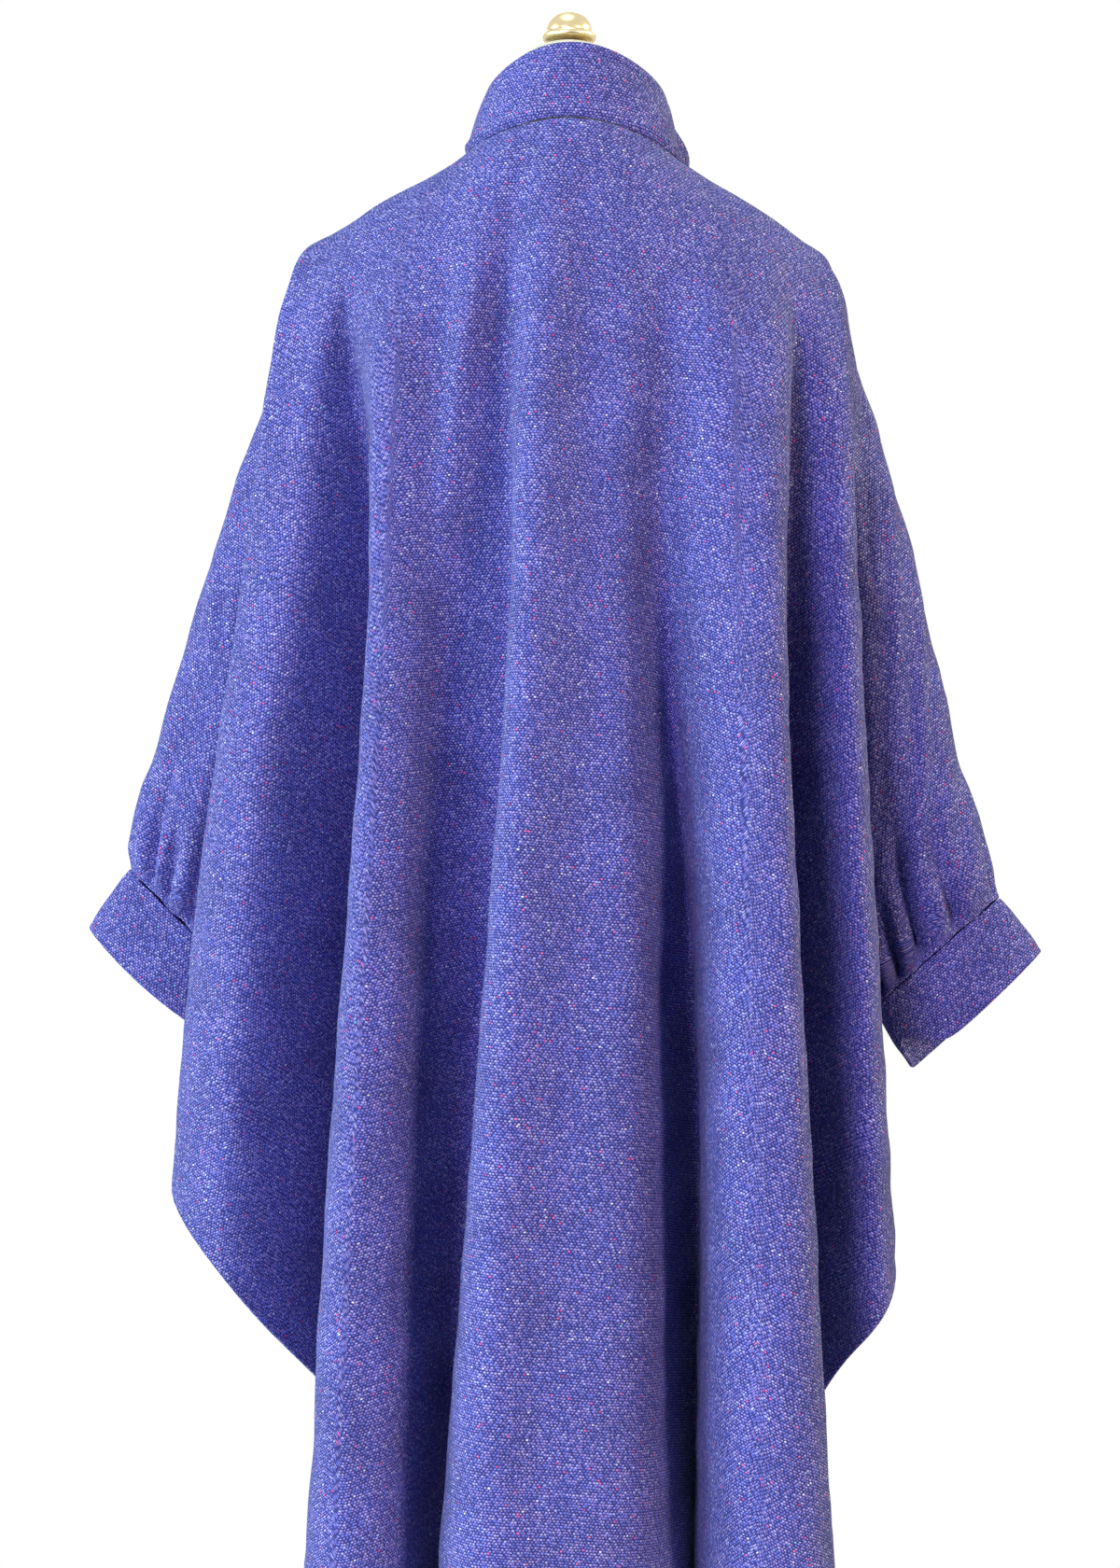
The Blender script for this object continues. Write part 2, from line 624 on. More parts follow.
@dataclass
class Skin:
    """Thin closed cloth round a grid of points, whose two faces meet in rounded free edges.

    The half thickness rises from 0 at an edge to its full value at edge_radius from it.
    """

    points: Array
    thickness: float
    around: bool = False
    flip: bool = False
    edge_radius: float = 0.0016
    turning: float = 0.0
    turning_depth: float = 0.0
    turning_ease: float = 0.003
    stitch_at: float = 0.0
    stitch_depth: float = 0.0007
    stitch_half_width: float = 0.0011
    hold_reach: float = 0.012
    flat_cells: tuple[int, int] = (20, 52)
    u: Array = field(init=False)
    v: Array = field(init=False)
    edge: Array = field(init=False)

    def __post_init__(self) -> None:
        """Measure lengths along the cloth and distances from its edges."""
        self.measure()

    def measure(self) -> None:
        """Work out the lengths across and down each point, and its distance from the nearest edge."""
        self.v = run_lengths(self.points)
        across = run_lengths(self.points, axis=1)
        middle = across.shape[1] // 2
        self.u = across - across[:, middle : middle + 1]
        self.edge = np.minimum(self.v, self.v[-1] - self.v)
        if not self.around:
            self.edge = np.minimum(self.edge, np.minimum(across, across[:, -1:] - across))

    def normals(self) -> Array:
        """Directions out of the outer face, [row, column, 3]."""
        p = self.points
        down = np.gradient(p, axis=0)
        if self.around:
            side = (np.roll(p, -1, axis=1) - np.roll(p, 1, axis=1)) / 2
        else:
            side = np.gradient(p, axis=1)
        return unit(np.cross(down, side)) * (-1 if self.flip else 1)

    def push(self, heights: Array) -> None:
        """Move the cloth out by the given heights, and less close to its edges."""
        hold = smooth_step(self.edge / self.hold_reach)
        self.points = self.points + self.normals() * (heights * hold)[..., None]

    def uneven(self, heights: Any, waves: Sequence[tuple[float, float]], seed: int, fade: Any = 1.0) -> Array:
        """Add soft waves to heights over the cloth.

        Args:
            heights: The heights so far.
            waves: A wavelength and a height for each layer of waves.
            seed: Chooses the first layer's waves; the others take the next numbers.
            fade: Share of the waves that is left at each point.

        Returns:
            The heights with their waves.
        """
        for number, (wavelength, height) in enumerate(waves):
            heights = heights + height * unevenness(self.u, self.v, wavelength, seed + number) * fade
        return heights

    def half_thickness(self) -> Array:
        """Half the cloth's thickness at each point, with its rounded edges, turnings and stitch line."""
        full = np.full(self.edge.shape, self.thickness / 2)
        if self.turning:
            full += self.turning_depth / 2 * smooth_step((self.turning - self.edge) / self.turning_ease)
        near = np.clip(self.edge / self.edge_radius, 0, 1)
        half = full * np.sqrt(np.clip(1 - (1 - near) ** 2, 0, 1))
        if self.stitch_at:
            apart = (self.edge - self.stitch_at) / self.stitch_half_width
            half -= self.stitch_depth * np.exp(-(apart**2))
        return half

    def outer(self) -> Array:
        """Points of the outer face."""
        return self.points + self.normals() * self.half_thickness()[..., None]

    def closed(self) -> Array:
        """The points, with the first column again after the last where the cloth goes round."""
        return wrapped(self.points) if self.around else self.points

    def area(self) -> float:
        """Area of the cloth, in square metres."""
        return float(cell_areas(self.closed()).sum())

    def cut(self) -> tuple[float, float]:
        """Width and length of the rectangle that the flat piece is cut from."""
        widths = np.linalg.norm(np.diff(self.closed(), axis=1), axis=2).sum(axis=1)
        return float(widths.max()), float(self.v[-1].max())

    def flat(self, top: Array) -> tuple[Array, Array]:
        """Lay the cloth flat with as little stretch as it lets, so that its weave keeps its size and angles.

        Args:
            top: How far down the flat cloth each column starts.

        Returns:
            Places across and down the flat cloth, [row, column].
        """
        lay = np.stack([self.u, top[None] + self.v], axis=-1)
        rows, columns = (
            np.unique(np.linspace(0, count - 1, min(count, most + 1)).round().astype(int))
            for count, most in zip(lay.shape, self.flat_cells)
        )
        p = self.points
        across = p[1:, 1:] - p[1:, :-1] + p[:-1, 1:] - p[:-1, :-1]
        down = p[1:, 1:] - p[:-1, 1:] + p[1:, :-1] - p[:-1, :-1]
        sizes = np.linalg.norm(across, axis=2) * np.linalg.norm(down, axis=2)
        lean, size = (
            np.add.reduceat(np.add.reduceat(each, rows[:-1], axis=0), columns[:-1], axis=1)
            for each in ((across * down).sum(axis=2), sizes)
        )
        coarse = lay[rows][:, columns]
        side = np.diff(self.u[rows][:, columns], axis=1)
        fall = np.diff(self.v[rows][:, columns], axis=0)
        wide, tall = (side[1:] + side[:-1]) / 2, (fall[:, 1:] + fall[:, :-1]) / 2
        slant = np.sqrt(wide**2 + tall**2 + 2 * wide * tall * lean / size)
        number = np.arange(coarse[..., 0].size).reshape(coarse.shape[:2])
        a, b, c, d = number[:-1, :-1], number[1:, :-1], number[1:, 1:], number[:-1, 1:]
        halves = ((a, b, c), (a, c, d)), ((fall[:, :-1], side[1:], slant), (slant, fall[:, 1:], side[:-1]))
        corners, lengths = (
            np.concatenate([np.stack(half, axis=-1).reshape(-1, 3) for half in both]) for both in halves
        )
        upward = np.array((1.0, -1.0))
        flat = laid_flat(corners, lengths, (coarse * upward).reshape(-1, 2)).reshape(coarse.shape) * upward
        shift = flat - coarse
        shift -= shift.mean(axis=(0, 1))
        v, u = self.v.mean(axis=1), self.u.mean(axis=0)
        lay += np.einsum("ar,rcx,bc->abx", spline_weights(v[rows], v), shift, spline_weights(u[columns], u))
        return lay[..., 0], lay[..., 1]

    def build(self, name: str, lay_top: Array | None = None) -> Object:
        """Make the piece.

        Args:
            name: Its name.
            lay_top: How far down the flat cloth each column starts.

        Returns:
            The object.
        """
        self.measure()
        rows, columns = self.points.shape[:2]
        offset = self.normals() * self.half_thickness()[..., None]
        front = np.arange(rows * columns).reshape(rows, columns)
        rim = np.zeros((rows, columns), bool)
        rim[0] = rim[-1] = True
        if not self.around:
            rim[:, 0] = rim[:, -1] = True
        behind = front.copy()
        behind[~rim] = rows * columns + np.arange((~rim).sum())
        points = np.concatenate([(self.points + offset).reshape(-1, 3), (self.points - offset)[~rim]])
        u, v = self.flat(np.zeros(columns) if lay_top is None else lay_top)
        if self.around:
            closing = np.linalg.norm(self.points[:, -1] - self.points[:, 0], axis=1)[:, None]
            front, behind, v = wrapped(front), wrapped(behind), wrapped(v)
            u = np.concatenate([u, u[:, -1:] + closing], axis=1)
        outside = self.quads(front)
        inside = self.quads(behind)
        lay = self.quads(np.stack([u, v], axis=-1))
        if self.flip:
            outside, lay_out, lay_in = outside[:, ::-1], lay[:, ::-1], lay
        else:
            inside, lay_out, lay_in = inside[:, ::-1], lay, lay[:, ::-1]
        faces = np.concatenate([outside, inside])
        return new_object(name, points, faces.tolist(), np.concatenate([lay_out, lay_in]))

    @staticmethod
    def quads(grid: Array) -> Array:
        """Values at the four corners of each cell of a grid, [cell, corner, ...]."""
        corners = np.stack([grid[:-1, :-1], grid[1:, :-1], grid[1:, 1:], grid[:-1, 1:]], axis=2)
        return corners.reshape(-1, *corners.shape[2:])


# ---------------------------------------------------------------- finishes
# Numbers of a mix node's sockets for its share, its two colours and its result.
MIX_SHARE, MIX_LOW, MIX_HIGH, MIX_RESULT = 0, 6, 7, 2


@dataclass
class Shader:
    """A material being put together from nodes."""

    name: str
    material: Material = field(init=False)

    def __post_init__(self) -> None:
        """Start with one principled surface."""
        self.material = bpy.data.materials.new(self.name)
        self.material.use_nodes = True
        self.nodes = self.material.node_tree.nodes
        self.surface = self.nodes["Principled BSDF"]

    def put(self, socket: bpy.types.NodeSocket, value: Any) -> None:
        """Join a socket to another one, or set its value."""
        if isinstance(value, bpy.types.NodeSocket):
            self.material.node_tree.links.new(value, socket)
        elif socket.type == "RGBA" and len(value) == 3:
            socket.default_value = (*value, 1.0)
        else:
            socket.default_value = value

    def add(self, kind: str, inputs: dict[Any, Any] | None = None, **settings: Any) -> bpy.types.Node:
        """Add a node.

        Args:
            kind: Its type, without the leading word.
            inputs: What its sockets take, by name or number.
            **settings: Its other settings.

        Returns:
            The node.
        """
        node = self.nodes.new("ShaderNode" + kind)
        for key, value in settings.items():
            setattr(node, key, value)
        for key, value in (inputs or {}).items():
            self.put(node.inputs[key], value)
        return node

    def lay(self) -> bpy.types.NodeSocket:
        """Places on the cloth, in metres."""
        return self.add("UVMap", uv_map="lay").outputs[0]

    def place(self) -> bpy.types.NodeSocket:
        """Places along the piece's own axes."""
        return self.add("TexCoord").outputs["Object"]

    def bump(self, strength: float, distance: float, height: Any) -> bpy.types.NodeSocket:
        """Normals of a surface that is finely raised."""
        return self.add("Bump", {"Strength": strength, "Distance": distance, "Height": height}).outputs[0]

    def math(self, operation: str, *values: Any) -> bpy.types.NodeSocket:
        """Result of a math node."""
        return self.add("Math", dict(enumerate(values)), operation=operation).outputs[0]

    def vector(self, operation: str, *values: Any) -> bpy.types.NodeSocket:
        """Result of a vector math node."""
        return self.add("VectorMath", dict(enumerate(values)), operation=operation).outputs[0]

    def mix(self, share: Any, low: Any, high: Any, blend: str = "MIX") -> bpy.types.NodeSocket:
        """Two colours mixed."""
        inputs = {MIX_SHARE: share, MIX_LOW: low, MIX_HIGH: high}
        return self.add("Mix", inputs, data_type="RGBA", blend_type=blend).outputs[MIX_RESULT]

    def between(self, value: Any, low: float, high: float, to_low: float, to_high: float) -> Any:
        """A value carried smoothly from one range to another."""
        inputs = {0: value, 1: low, 2: high, 3: to_low, 4: to_high}
        return self.add("MapRange", inputs, interpolation_type="SMOOTHSTEP").outputs[0]

    def noise(self, place: Any, scale: float, detail: float = 2.0, roughness: float = 0.5) -> Any:
        """Value of a noise node."""
        inputs = {"Vector": place, "Scale": scale, "Detail": detail, "Roughness": roughness}
        return self.add("TexNoise", inputs).outputs[0]

    def ramp(self, value: Any, stops: Sequence[tuple[float, Colour]], hard: bool = False) -> Any:
        """Colours along a value."""
        node = self.add("ValToRGB", {0: value})
        band = node.color_ramp
        band.interpolation = "CONSTANT" if hard else "LINEAR"
        while len(band.elements) < len(stops):
            band.elements.new(0.5)
        for element, (place, colour) in zip(band.elements, stops):
            element.position = place
            element.color = (*colour, 1.0)
        return node.outputs[0]

    def finish(self, **sockets: Any) -> Material:
        """Set the surface's sockets, whose names have underscores for spaces, and give the material."""
        for name, value in sockets.items():
            self.put(self.surface.inputs[name.replace("_", " ")], value)
        return self.material


@dataclass(frozen=True)
class Tweed:
    """Coarse heathered wool: pale knots of yarn in a brick order on a dark ground, with coloured flecks."""

    thread: float = 0.0028
    row: float = 0.0021
    randomness: float = 0.34
    knot_sizes: tuple[float, float] = (0.36, 0.56)
    knot_edge: tuple[float, float] = (0.45, 1.05)
    ground: tuple[Colour, ...] = ((0.014, 0.018, 0.130), (0.034, 0.036, 0.220))
    ground_scale: float = 420.0
    yarns: tuple[Colour, ...] = (
        (0.120, 0.145, 0.570),
        (0.200, 0.215, 0.720),
        (0.300, 0.220, 0.620),
        (0.440, 0.440, 0.860),
    )
    mottle_scale: float = 16.0
    mottle: tuple[tuple[float, float], ...] = ((0.3, 0.86), (0.7, 1.14))
    fleck_share: float = 0.013
    fleck_edge: tuple[float, float] = (0.26, 0.44)
    flecks: tuple[tuple[float, Colour], ...] = (
        (0.0, (0.85, 0.14, 0.40)),
        (0.42, (0.74, 0.72, 0.85)),
        (0.80, (0.62, 0.08, 0.26)),
        (0.95, (0.25, 0.58, 0.85)),
    )
    hair_scale: float = 1500.0
    hair_shares: tuple[float, float] = (0.02, 0.32)
    haze: Colour = (0.36, 0.36, 0.70)
    relief: float = 0.0009

    def material(self) -> Material:
        """The tweed as a material."""
        s = Shader("tweed")
        lay = s.lay()
        split = s.add("SeparateXYZ", {0: lay}).outputs
        rows = s.math("DIVIDE", split[1], self.row)
        threads = s.math("MULTIPLY_ADD", rows, 0.5, s.math("DIVIDE", split[0], self.thread))
        weave = s.add("CombineXYZ", {0: threads, 1: rows}).outputs[0]
        cells = {"Vector": weave, "Scale": 1.0, "Randomness": self.randomness}
        cell = s.add("TexVoronoi", cells, voronoi_dimensions="2D").outputs
        apart = s.add("SeparateXYZ", {0: s.vector("SUBTRACT", weave, cell["Position"])}).outputs
        across = s.math("MULTIPLY_ADD", apart[1], -0.5, apart[0])
        chance = s.add("SeparateColor", {0: cell["Color"]}).outputs
        second = s.add("TexWhiteNoise", {"Vector": cell["Position"]}, noise_dimensions="2D").outputs
        size = s.between(chance[0], 0.0, 1.0, *self.knot_sizes)
        reach = s.math("SQRT", s.math("ADD", s.math("POWER", across, 2.0), s.math("POWER", apart[1], 2.0)))
        knot = s.between(s.math("DIVIDE", reach, size), *self.knot_edge, 1.0, 0.0)

        stops = [(i / (len(self.yarns) - 1), colour) for i, colour in enumerate(self.yarns)]
        yarn = s.ramp(chance[1], stops)
        ground = s.mix(s.noise(lay, self.ground_scale), *self.ground)
        colour = s.mix(knot, ground, yarn)
        mottle = s.ramp(s.noise(lay, self.mottle_scale, 3), [(at, (tone,) * 3) for at, tone in self.mottle])
        colour = s.mix(1.0, colour, mottle, "MULTIPLY")
        hair = s.noise(lay, self.hair_scale, 3, 0.7)
        colour = s.mix(s.between(hair, 0.45, 0.85, *self.hair_shares), colour, self.haze)
        blob = s.between(reach, *self.fleck_edge, 1.0, 0.0)
        chosen = s.math("GREATER_THAN", second["Value"], 1.0 - self.fleck_share)
        fleck = s.ramp(chance[2], self.flecks, hard=True)
        colour = s.mix(s.math("MULTIPLY", blob, chosen), colour, fleck)

        height = s.math("ADD", knot, s.math("MULTIPLY", hair, 0.5))
        bump = s.bump(0.8, self.relief, height)
        return s.finish(
            Base_Color=colour,
            Roughness=0.95,
            Specular_IOR_Level=0.08,
            Sheen_Weight=0.12,
            Sheen_Roughness=0.35,
            Sheen_Tint=(0.62, 0.68, 1.0),
            Normal=bump,
        )


@dataclass(frozen=True)
class Horn:
    """Polished horn of the buttons, dark with violet clouds and pale streaks."""

    dark: Colour = (0.014, 0.012, 0.034)
    light: Colour = (0.085, 0.070, 0.160)
    streak_scales: tuple[float, float, float] = (900.0, 200.0, 160.0)
    cloud_scale: float = 120.0
    grain_scale: float = 3000.0

    def material(self) -> Material:
        """The horn as a material."""
        s = Shader("button_horn")
        place = s.place()
        streaks = s.noise(s.vector("MULTIPLY", place, self.streak_scales), 1.0, 4, 0.6)
        clouds = s.noise(place, self.cloud_scale, 3)
        share = s.between(s.math("ADD", streaks, clouds), 0.8, 1.3, 0.0, 1.0)
        grain = s.noise(place, self.grain_scale, 3)
        return s.finish(
            Base_Color=s.mix(share, self.dark, self.light),
            Roughness=s.between(grain, 0.3, 0.7, 0.22, 0.36),
            Normal=s.bump(0.15, 0.0001, grain),
            Coat_Weight=0.3,
        )


@dataclass(frozen=True)
class WovenCover:
    """Tight cream cover of the dress form, a fine plain weave."""

    pitch: float = 0.0007
    light: Colour = (0.72, 0.66, 0.55)
    dark: Colour = (0.52, 0.46, 0.36)
    slub_scales: tuple[float, float, float] = (60.0, 900.0, 1.0)

    def material(self) -> Material:
        """The cover as a material."""
        s = Shader("form_cover")
        lay = s.lay()
        split = s.add("SeparateXYZ", {0: lay}).outputs
        turn = 2 * math.pi / self.pitch
        waves = [s.math("SINE", s.math("MULTIPLY", split[axis], turn)) for axis in (0, 1)]
        weave = s.math("MULTIPLY_ADD", s.math("MULTIPLY", *waves), 0.5, 0.5)
        slub = s.noise(s.vector("MULTIPLY", lay, self.slub_scales), 1.0)
        share = s.math("MULTIPLY", s.math("ADD", weave, slub), 0.5)
        return s.finish(
            Base_Color=s.mix(share, self.dark, self.light),
            Roughness=0.85,
            Sheen_Weight=0.2,
            Normal=s.bump(0.4, 0.0002, weave),
        )


@dataclass(frozen=True)
class Brass:
    """Lacquered pale brass with faint turning marks and a few duller spots."""

    bright: Colour = (0.74, 0.62, 0.36)
    dull: Colour = (0.50, 0.38, 0.18)
    mark_scales: tuple[float, float, float] = (8.0, 3500.0, 1.0)
    spot_scale: float = 90.0

    def material(self) -> Material:
        """The brass as a material."""
        s = Shader("brass")
        lay = s.lay()
        marks = s.noise(s.vector("MULTIPLY", lay, self.mark_scales), 1.0)
        spots = s.noise(lay, self.spot_scale, 4, 0.6)
        share = s.between(spots, 0.5, 0.75, 0.0, 0.7)
        rough = s.math("ADD", s.between(spots, 0.35, 0.75, 0.16, 0.34), s.math("MULTIPLY", marks, 0.06))
        return s.finish(
            Base_Color=s.mix(share, self.bright, self.dull),
            Metallic=1.0,
            Roughness=rough,
            Normal=s.bump(0.12, 0.0001, marks),
        )


@dataclass(frozen=True)
class BasePaint:
    """Black powder coat of the form's base, finely grained and a little rubbed."""

    dark: Colour = (0.016, 0.015, 0.015)
    rubbed: Colour = (0.050, 0.047, 0.044)
    grain_scale: float = 2200.0
    wear_scale: float = 18.0

    def material(self) -> Material:
        """The paint as a material."""
        s = Shader("base_paint")
        place = s.place()
        grain = s.noise(place, self.grain_scale)
        wear = s.between(s.noise(place, self.wear_scale, 5, 0.65), 0.5, 0.8, 0.0, 1.0)
        return s.finish(
            Base_Color=s.mix(wear, self.dark, self.rubbed),
            Roughness=s.between(grain, 0.3, 0.7, 0.38, 0.55),
            Normal=s.bump(0.35, 0.0003, grain),
        )


@dataclass(frozen=True)
class Yarn:
    """Plain twisted yarn for stitches and for the fibres that stand out of the nap."""

    name: str
    dark: Colour
    light: Colour
    scale: float

    def material(self) -> Material:
        """The yarn as a material."""
        s = Shader(self.name)
        tone = s.noise(s.place(), self.scale)
        colour = s.mix(s.between(tone, 0.35, 0.65, 0.0, 1.0), self.dark, self.light)
        return s.finish(Base_Color=colour, Roughness=0.8, Sheen_Weight=0.3, Normal=s.bump(0.3, 0.0001, tone))


@dataclass(frozen=True)
class Finishes:
    """Every finish of the object, made once."""

    tweed: Material
    horn: Material
    cover: Material
    brass: Material
    paint: Material
    thread: Material
    nap: Material

    @classmethod
    def made(cls) -> "Finishes":
        """Make the materials."""
        return cls(
            tweed=Tweed().material(),
            horn=Horn().material(),
            cover=WovenCover().material(),
            brass=Brass().material(),
            paint=BasePaint().material(),
            thread=Yarn("thread", (0.05, 0.05, 0.26), (0.12, 0.11, 0.46), 1800).material(),
            nap=Yarn("nap", (0.24, 0.22, 0.66), (0.55, 0.54, 0.86), 300).material(),
        )


# ---------------------------------------------------------------- the coat
@dataclass(frozen=True)
class Block:
    """Edges that the coat's pieces share, and how the cloth leaves them."""

    neck_x: float = 0.004
    neck_half_width: float = 0.090
    neck_back: float = 0.083
    neck_front: float = 0.112
    neck_z: float = 1.410
    neck_back_rise: float = 0.017
    neck_back_power: float = 3.2
    neck_front_drop: float = 0.074
    neck_tilt: float = 0.042
    neck_flare: float = 0.12
    shoulder_x: float = 0.218
    shoulder_y: float = 0.008
    shoulder_neck_z: float = 1.4015
    shoulder_z: float = 1.333
    shoulder_rounding: float = 0.0008
    shoulder_tilt: float = 0.023
    shoulder_roll: float = 0.5
    neck_roll: float = 0.72
    underarm_z: float = 0.920
    armhole_half_depth: float = 0.055
    side_x: float = 0.221
    side_y: float = 0.035
    hem_side_x: float = 0.240
    hem_side_y: float = 0.040
    hem_side_z: float = 0.200
    shoulder_seam_half: float = 0.0003
    side_seam_half: float = 0.0011

    def from_neck(self, x: Array | float) -> Array:
        """Place across the neck, from -1 to 1 at its ends."""
        return np.clip((x - self.neck_x) / self.neck_half_width, -1, 1)

    def neck(self, x: Array | float, front: bool) -> tuple[Array, Array]:
        """(y, z) of the neck seam at x. It hangs a little lower on the right."""
        across = self.from_neck(x)
        along = np.sqrt(1 - across**2)
        level = self.neck_z - self.neck_tilt * self.neck_half_width * across
        if front:
            return self.neck_front * along, level - self.neck_front_drop * along**2
        return -self.neck_back * along, level + self.neck_back_rise * along**self.neck_back_power

    def shoulder_tip(self, side: int) -> float:
        """Height of a shoulder seam's outer end."""
        return self.shoulder_z + self.shoulder_tilt * (self.neck_x - side * self.shoulder_x)

    def top_edge(self, x: Array, front: bool) -> Array:
        """Points of a panel's top edge: the neck seam, and a shoulder seam that flares out of it."""
        neck_side = self.neck_half_width + np.sign(x) * self.neck_x
        share = np.clip((abs(x) - neck_side) / (self.shoulder_x - neck_side), 0, 1)
        drop = (self.shoulder_z - self.shoulder_neck_z) * share
        line = self.shoulder_neck_z + drop + self.shoulder_rounding * np.sin(math.pi * share)
        line = line + self.shoulder_tilt * (self.neck_x - x)
        corner = self.neck_z - self.neck_tilt * self.neck_half_width * np.sign(x)
        z = line + (corner - line) * (1 - np.clip(share / self.neck_flare, 0, 1)) ** 2
        y = self.shoulder_y * share
        neck_y, neck_z = self.neck(x, front)
        at_neck = abs(x - self.neck_x) < self.neck_half_width
        away = self.shoulder_seam_half * (1 if front else -1)
        return np.stack([x, np.where(at_neck, neck_y, y) + away, np.where(at_neck, neck_z, z)], axis=1)

    def roll(self, x: Array) -> Array:
        """How the cloth leaves its top edge: level over a shoulder seam, already sloping at the neck."""
        steeper = (self.neck_roll - self.shoulder_roll) * np.sqrt(1 - self.from_neck(x) ** 2)
        return self.shoulder_roll + steeper

    def armhole(self, side: Side) -> tuple[float, float]:
        """Height of an armhole's middle, and half its height."""
        top = self.shoulder_tip(side.value)
        return (top + self.underarm_z) / 2, (top - self.underarm_z) / 2

    def side_edge(self, z: Array, side: Side, front: bool) -> tuple[Array, Array]:
        """(x, y) of a panel's outer edge: round the armhole, and down the side seam."""
        middle, half = self.armhole(side)
        heights = (self.hem_side_z, self.underarm_z, middle + half)
        x = side.value * np.interp(z, heights, (self.hem_side_x, self.side_x, self.shoulder_x))
        y = np.interp(z, heights, (self.hem_side_y, self.side_y, self.shoulder_y))
        open_by = self.armhole_half_depth * np.sqrt(np.clip(1 - ((z - middle) / half) ** 2, 0, 1))
        away = np.maximum(open_by, self.side_seam_half)
        return x, y + away if front else y - away


BLOCK = Block()


@dataclass
class Panel:
    """A back or front that hangs from its top edge through its fold lines."""

    name: str
    folds: tuple[Fold, ...]
    front: bool
    flip: bool = False
    free_end: bool = False
    across: int = 8
    above: int = 64
    below: int = 104
    cloth: float = 0.0020
    hem_turning: float = 0.040
    hem_turning_depth: float = 0.0010
    creases: tuple[Crease, ...] = ()
    waves: tuple[tuple[float, float], ...] = ((0.085, 0.0007), (0.030, 0.00015))
    seed: int = 1
    skin: Skin = field(init=False)
    at_fold: Array = field(init=False)

    def grid(self) -> Array:
        """Points of the panel, [row, column, 3], from its folds at each level and its top edge."""
        table = np.array([fold[1:] for fold in self.folds])
        places = table[:, 2:].reshape(len(table), len(LEVELS), 2)
        steps = np.linalg.norm(np.diff(places, axis=0), axis=2).mean(axis=1)
        knots = np.concatenate([[0.0], np.cumsum(steps)])
        fine = [np.linspace(a, b, self.across, endpoint=False) for a, b in zip(knots[:-1], knots[1:])]
        samples = eased(np.append(np.concatenate(fine), knots[-1]))
        self.at_fold = np.interp(samples, knots, np.arange(len(knots)))
        weights = spline_weights(knots, samples)
        top = BLOCK.top_edge(np.interp(samples, knots, table[:, 0]), self.front)
        hem = weights @ table[:, 1]
        at_levels = np.einsum("sf,flc->slc", weights, places)
        upper = eased(np.linspace(0, 1, self.above + 1), end=False)[:-1]
        lower = eased(np.linspace(0, 1, self.below + 1), start=False)
        grid = np.empty((len(upper) + len(lower), len(samples), 3))
        for column, start in enumerate(top):
            power = BLOCK.roll(start[0])
            depth_knots = (start[2] - np.array((start[2], *LEVELS))) ** power
            middle = (start[2] - BLOCK.underarm_z) ** power
            end = (start[2] - hem[column]) ** power
            depths = np.concatenate([upper * middle, middle + lower * (end - middle)])
            values = np.vstack([start[:2], at_levels[column]])
            grid[:, column, :2] = spline_weights(depth_knots, depths) @ values
            grid[:, column, 2] = start[2] - depths ** (1 / power)
        ends = [(0, knots[1] - knots[0], samples - knots[0])]
        if not self.free_end:
            ends.append((-1, knots[-1] - knots[-2], knots[-1] - samples))
        for edge, reach, away in ends:
            side = Side(int(np.sign(grid[0, edge, 0])))
            x, y = BLOCK.side_edge(grid[:, edge, 2], side, self.front)
            shift = np.stack([x, y], axis=1) - grid[:, edge, :2]
            share = 1 - smooth_step(away / reach)
            grid[..., :2] += shift[:, None] * share[None, :, None]
        return grid

    def shape(self) -> Skin:
        """Shape the cloth: its grid, its creases and its soft unevenness."""
        skin = Skin(
            self.grid(),
            self.cloth,
            flip=self.flip,
            turning=self.hem_turning,
            turning_depth=self.hem_turning_depth,
        )
        depth = -skin.points[..., 2]
        heights = crease_heights(self.creases, depth, np.broadcast_to(self.at_fold, depth.shape))
        skin.push(skin.uneven(heights, self.waves, self.seed))
        self.skin = skin
        return skin

    def build(self, finishes: Finishes) -> Object:
        """Args:
            finishes: The object's finishes.

        Returns:
            The piece.
        """
        skin = self.shape()
        top = skin.points[0, :, 2]
        piece = skin.build(self.name + "_cloth", top.max() - top)
        dress(piece, finishes.tweed, "tweed", self.name)
        skin.cut()
        skin.area()
        return piece


@dataclass
class Back(Panel):
    """The wide flared back, with three standing folds and a rolled fold down each side."""

    name: str = "back"
    folds: tuple[Fold, ...] = BACK_FOLDS
    front: bool = False
    creases: tuple[Crease, ...] = BACK_CREASES
    corner_reach: float = 0.034
    corner_start: float = 0.022
    corner_low: float = 1.24
    corner_fade: float = 0.12
    corner_steps: int = 160

    def grid(self) -> Array:
        """Points of the back, smoothed across below the corners where the neck meets the shoulders."""
        grid = super().grid()
        grows = smooth_step(run_lengths(grid) / self.corner_start)
        fades = smooth_step((grid[..., 2] - self.corner_low) / self.corner_fade)
        place = abs(abs(grid[0, :, 0] - BLOCK.neck_x) - BLOCK.neck_half_width)
        weight = (np.exp(-((place / self.corner_reach) ** 2)) * grows * fades)[:, 1:-1, None]
        for _ in range(self.corner_steps):
            middle = (grid[:, :-2] + grid[:, 2:]) / 2
            grid[:, 1:-1] += (middle - grid[:, 1:-1]) * weight
        return grid


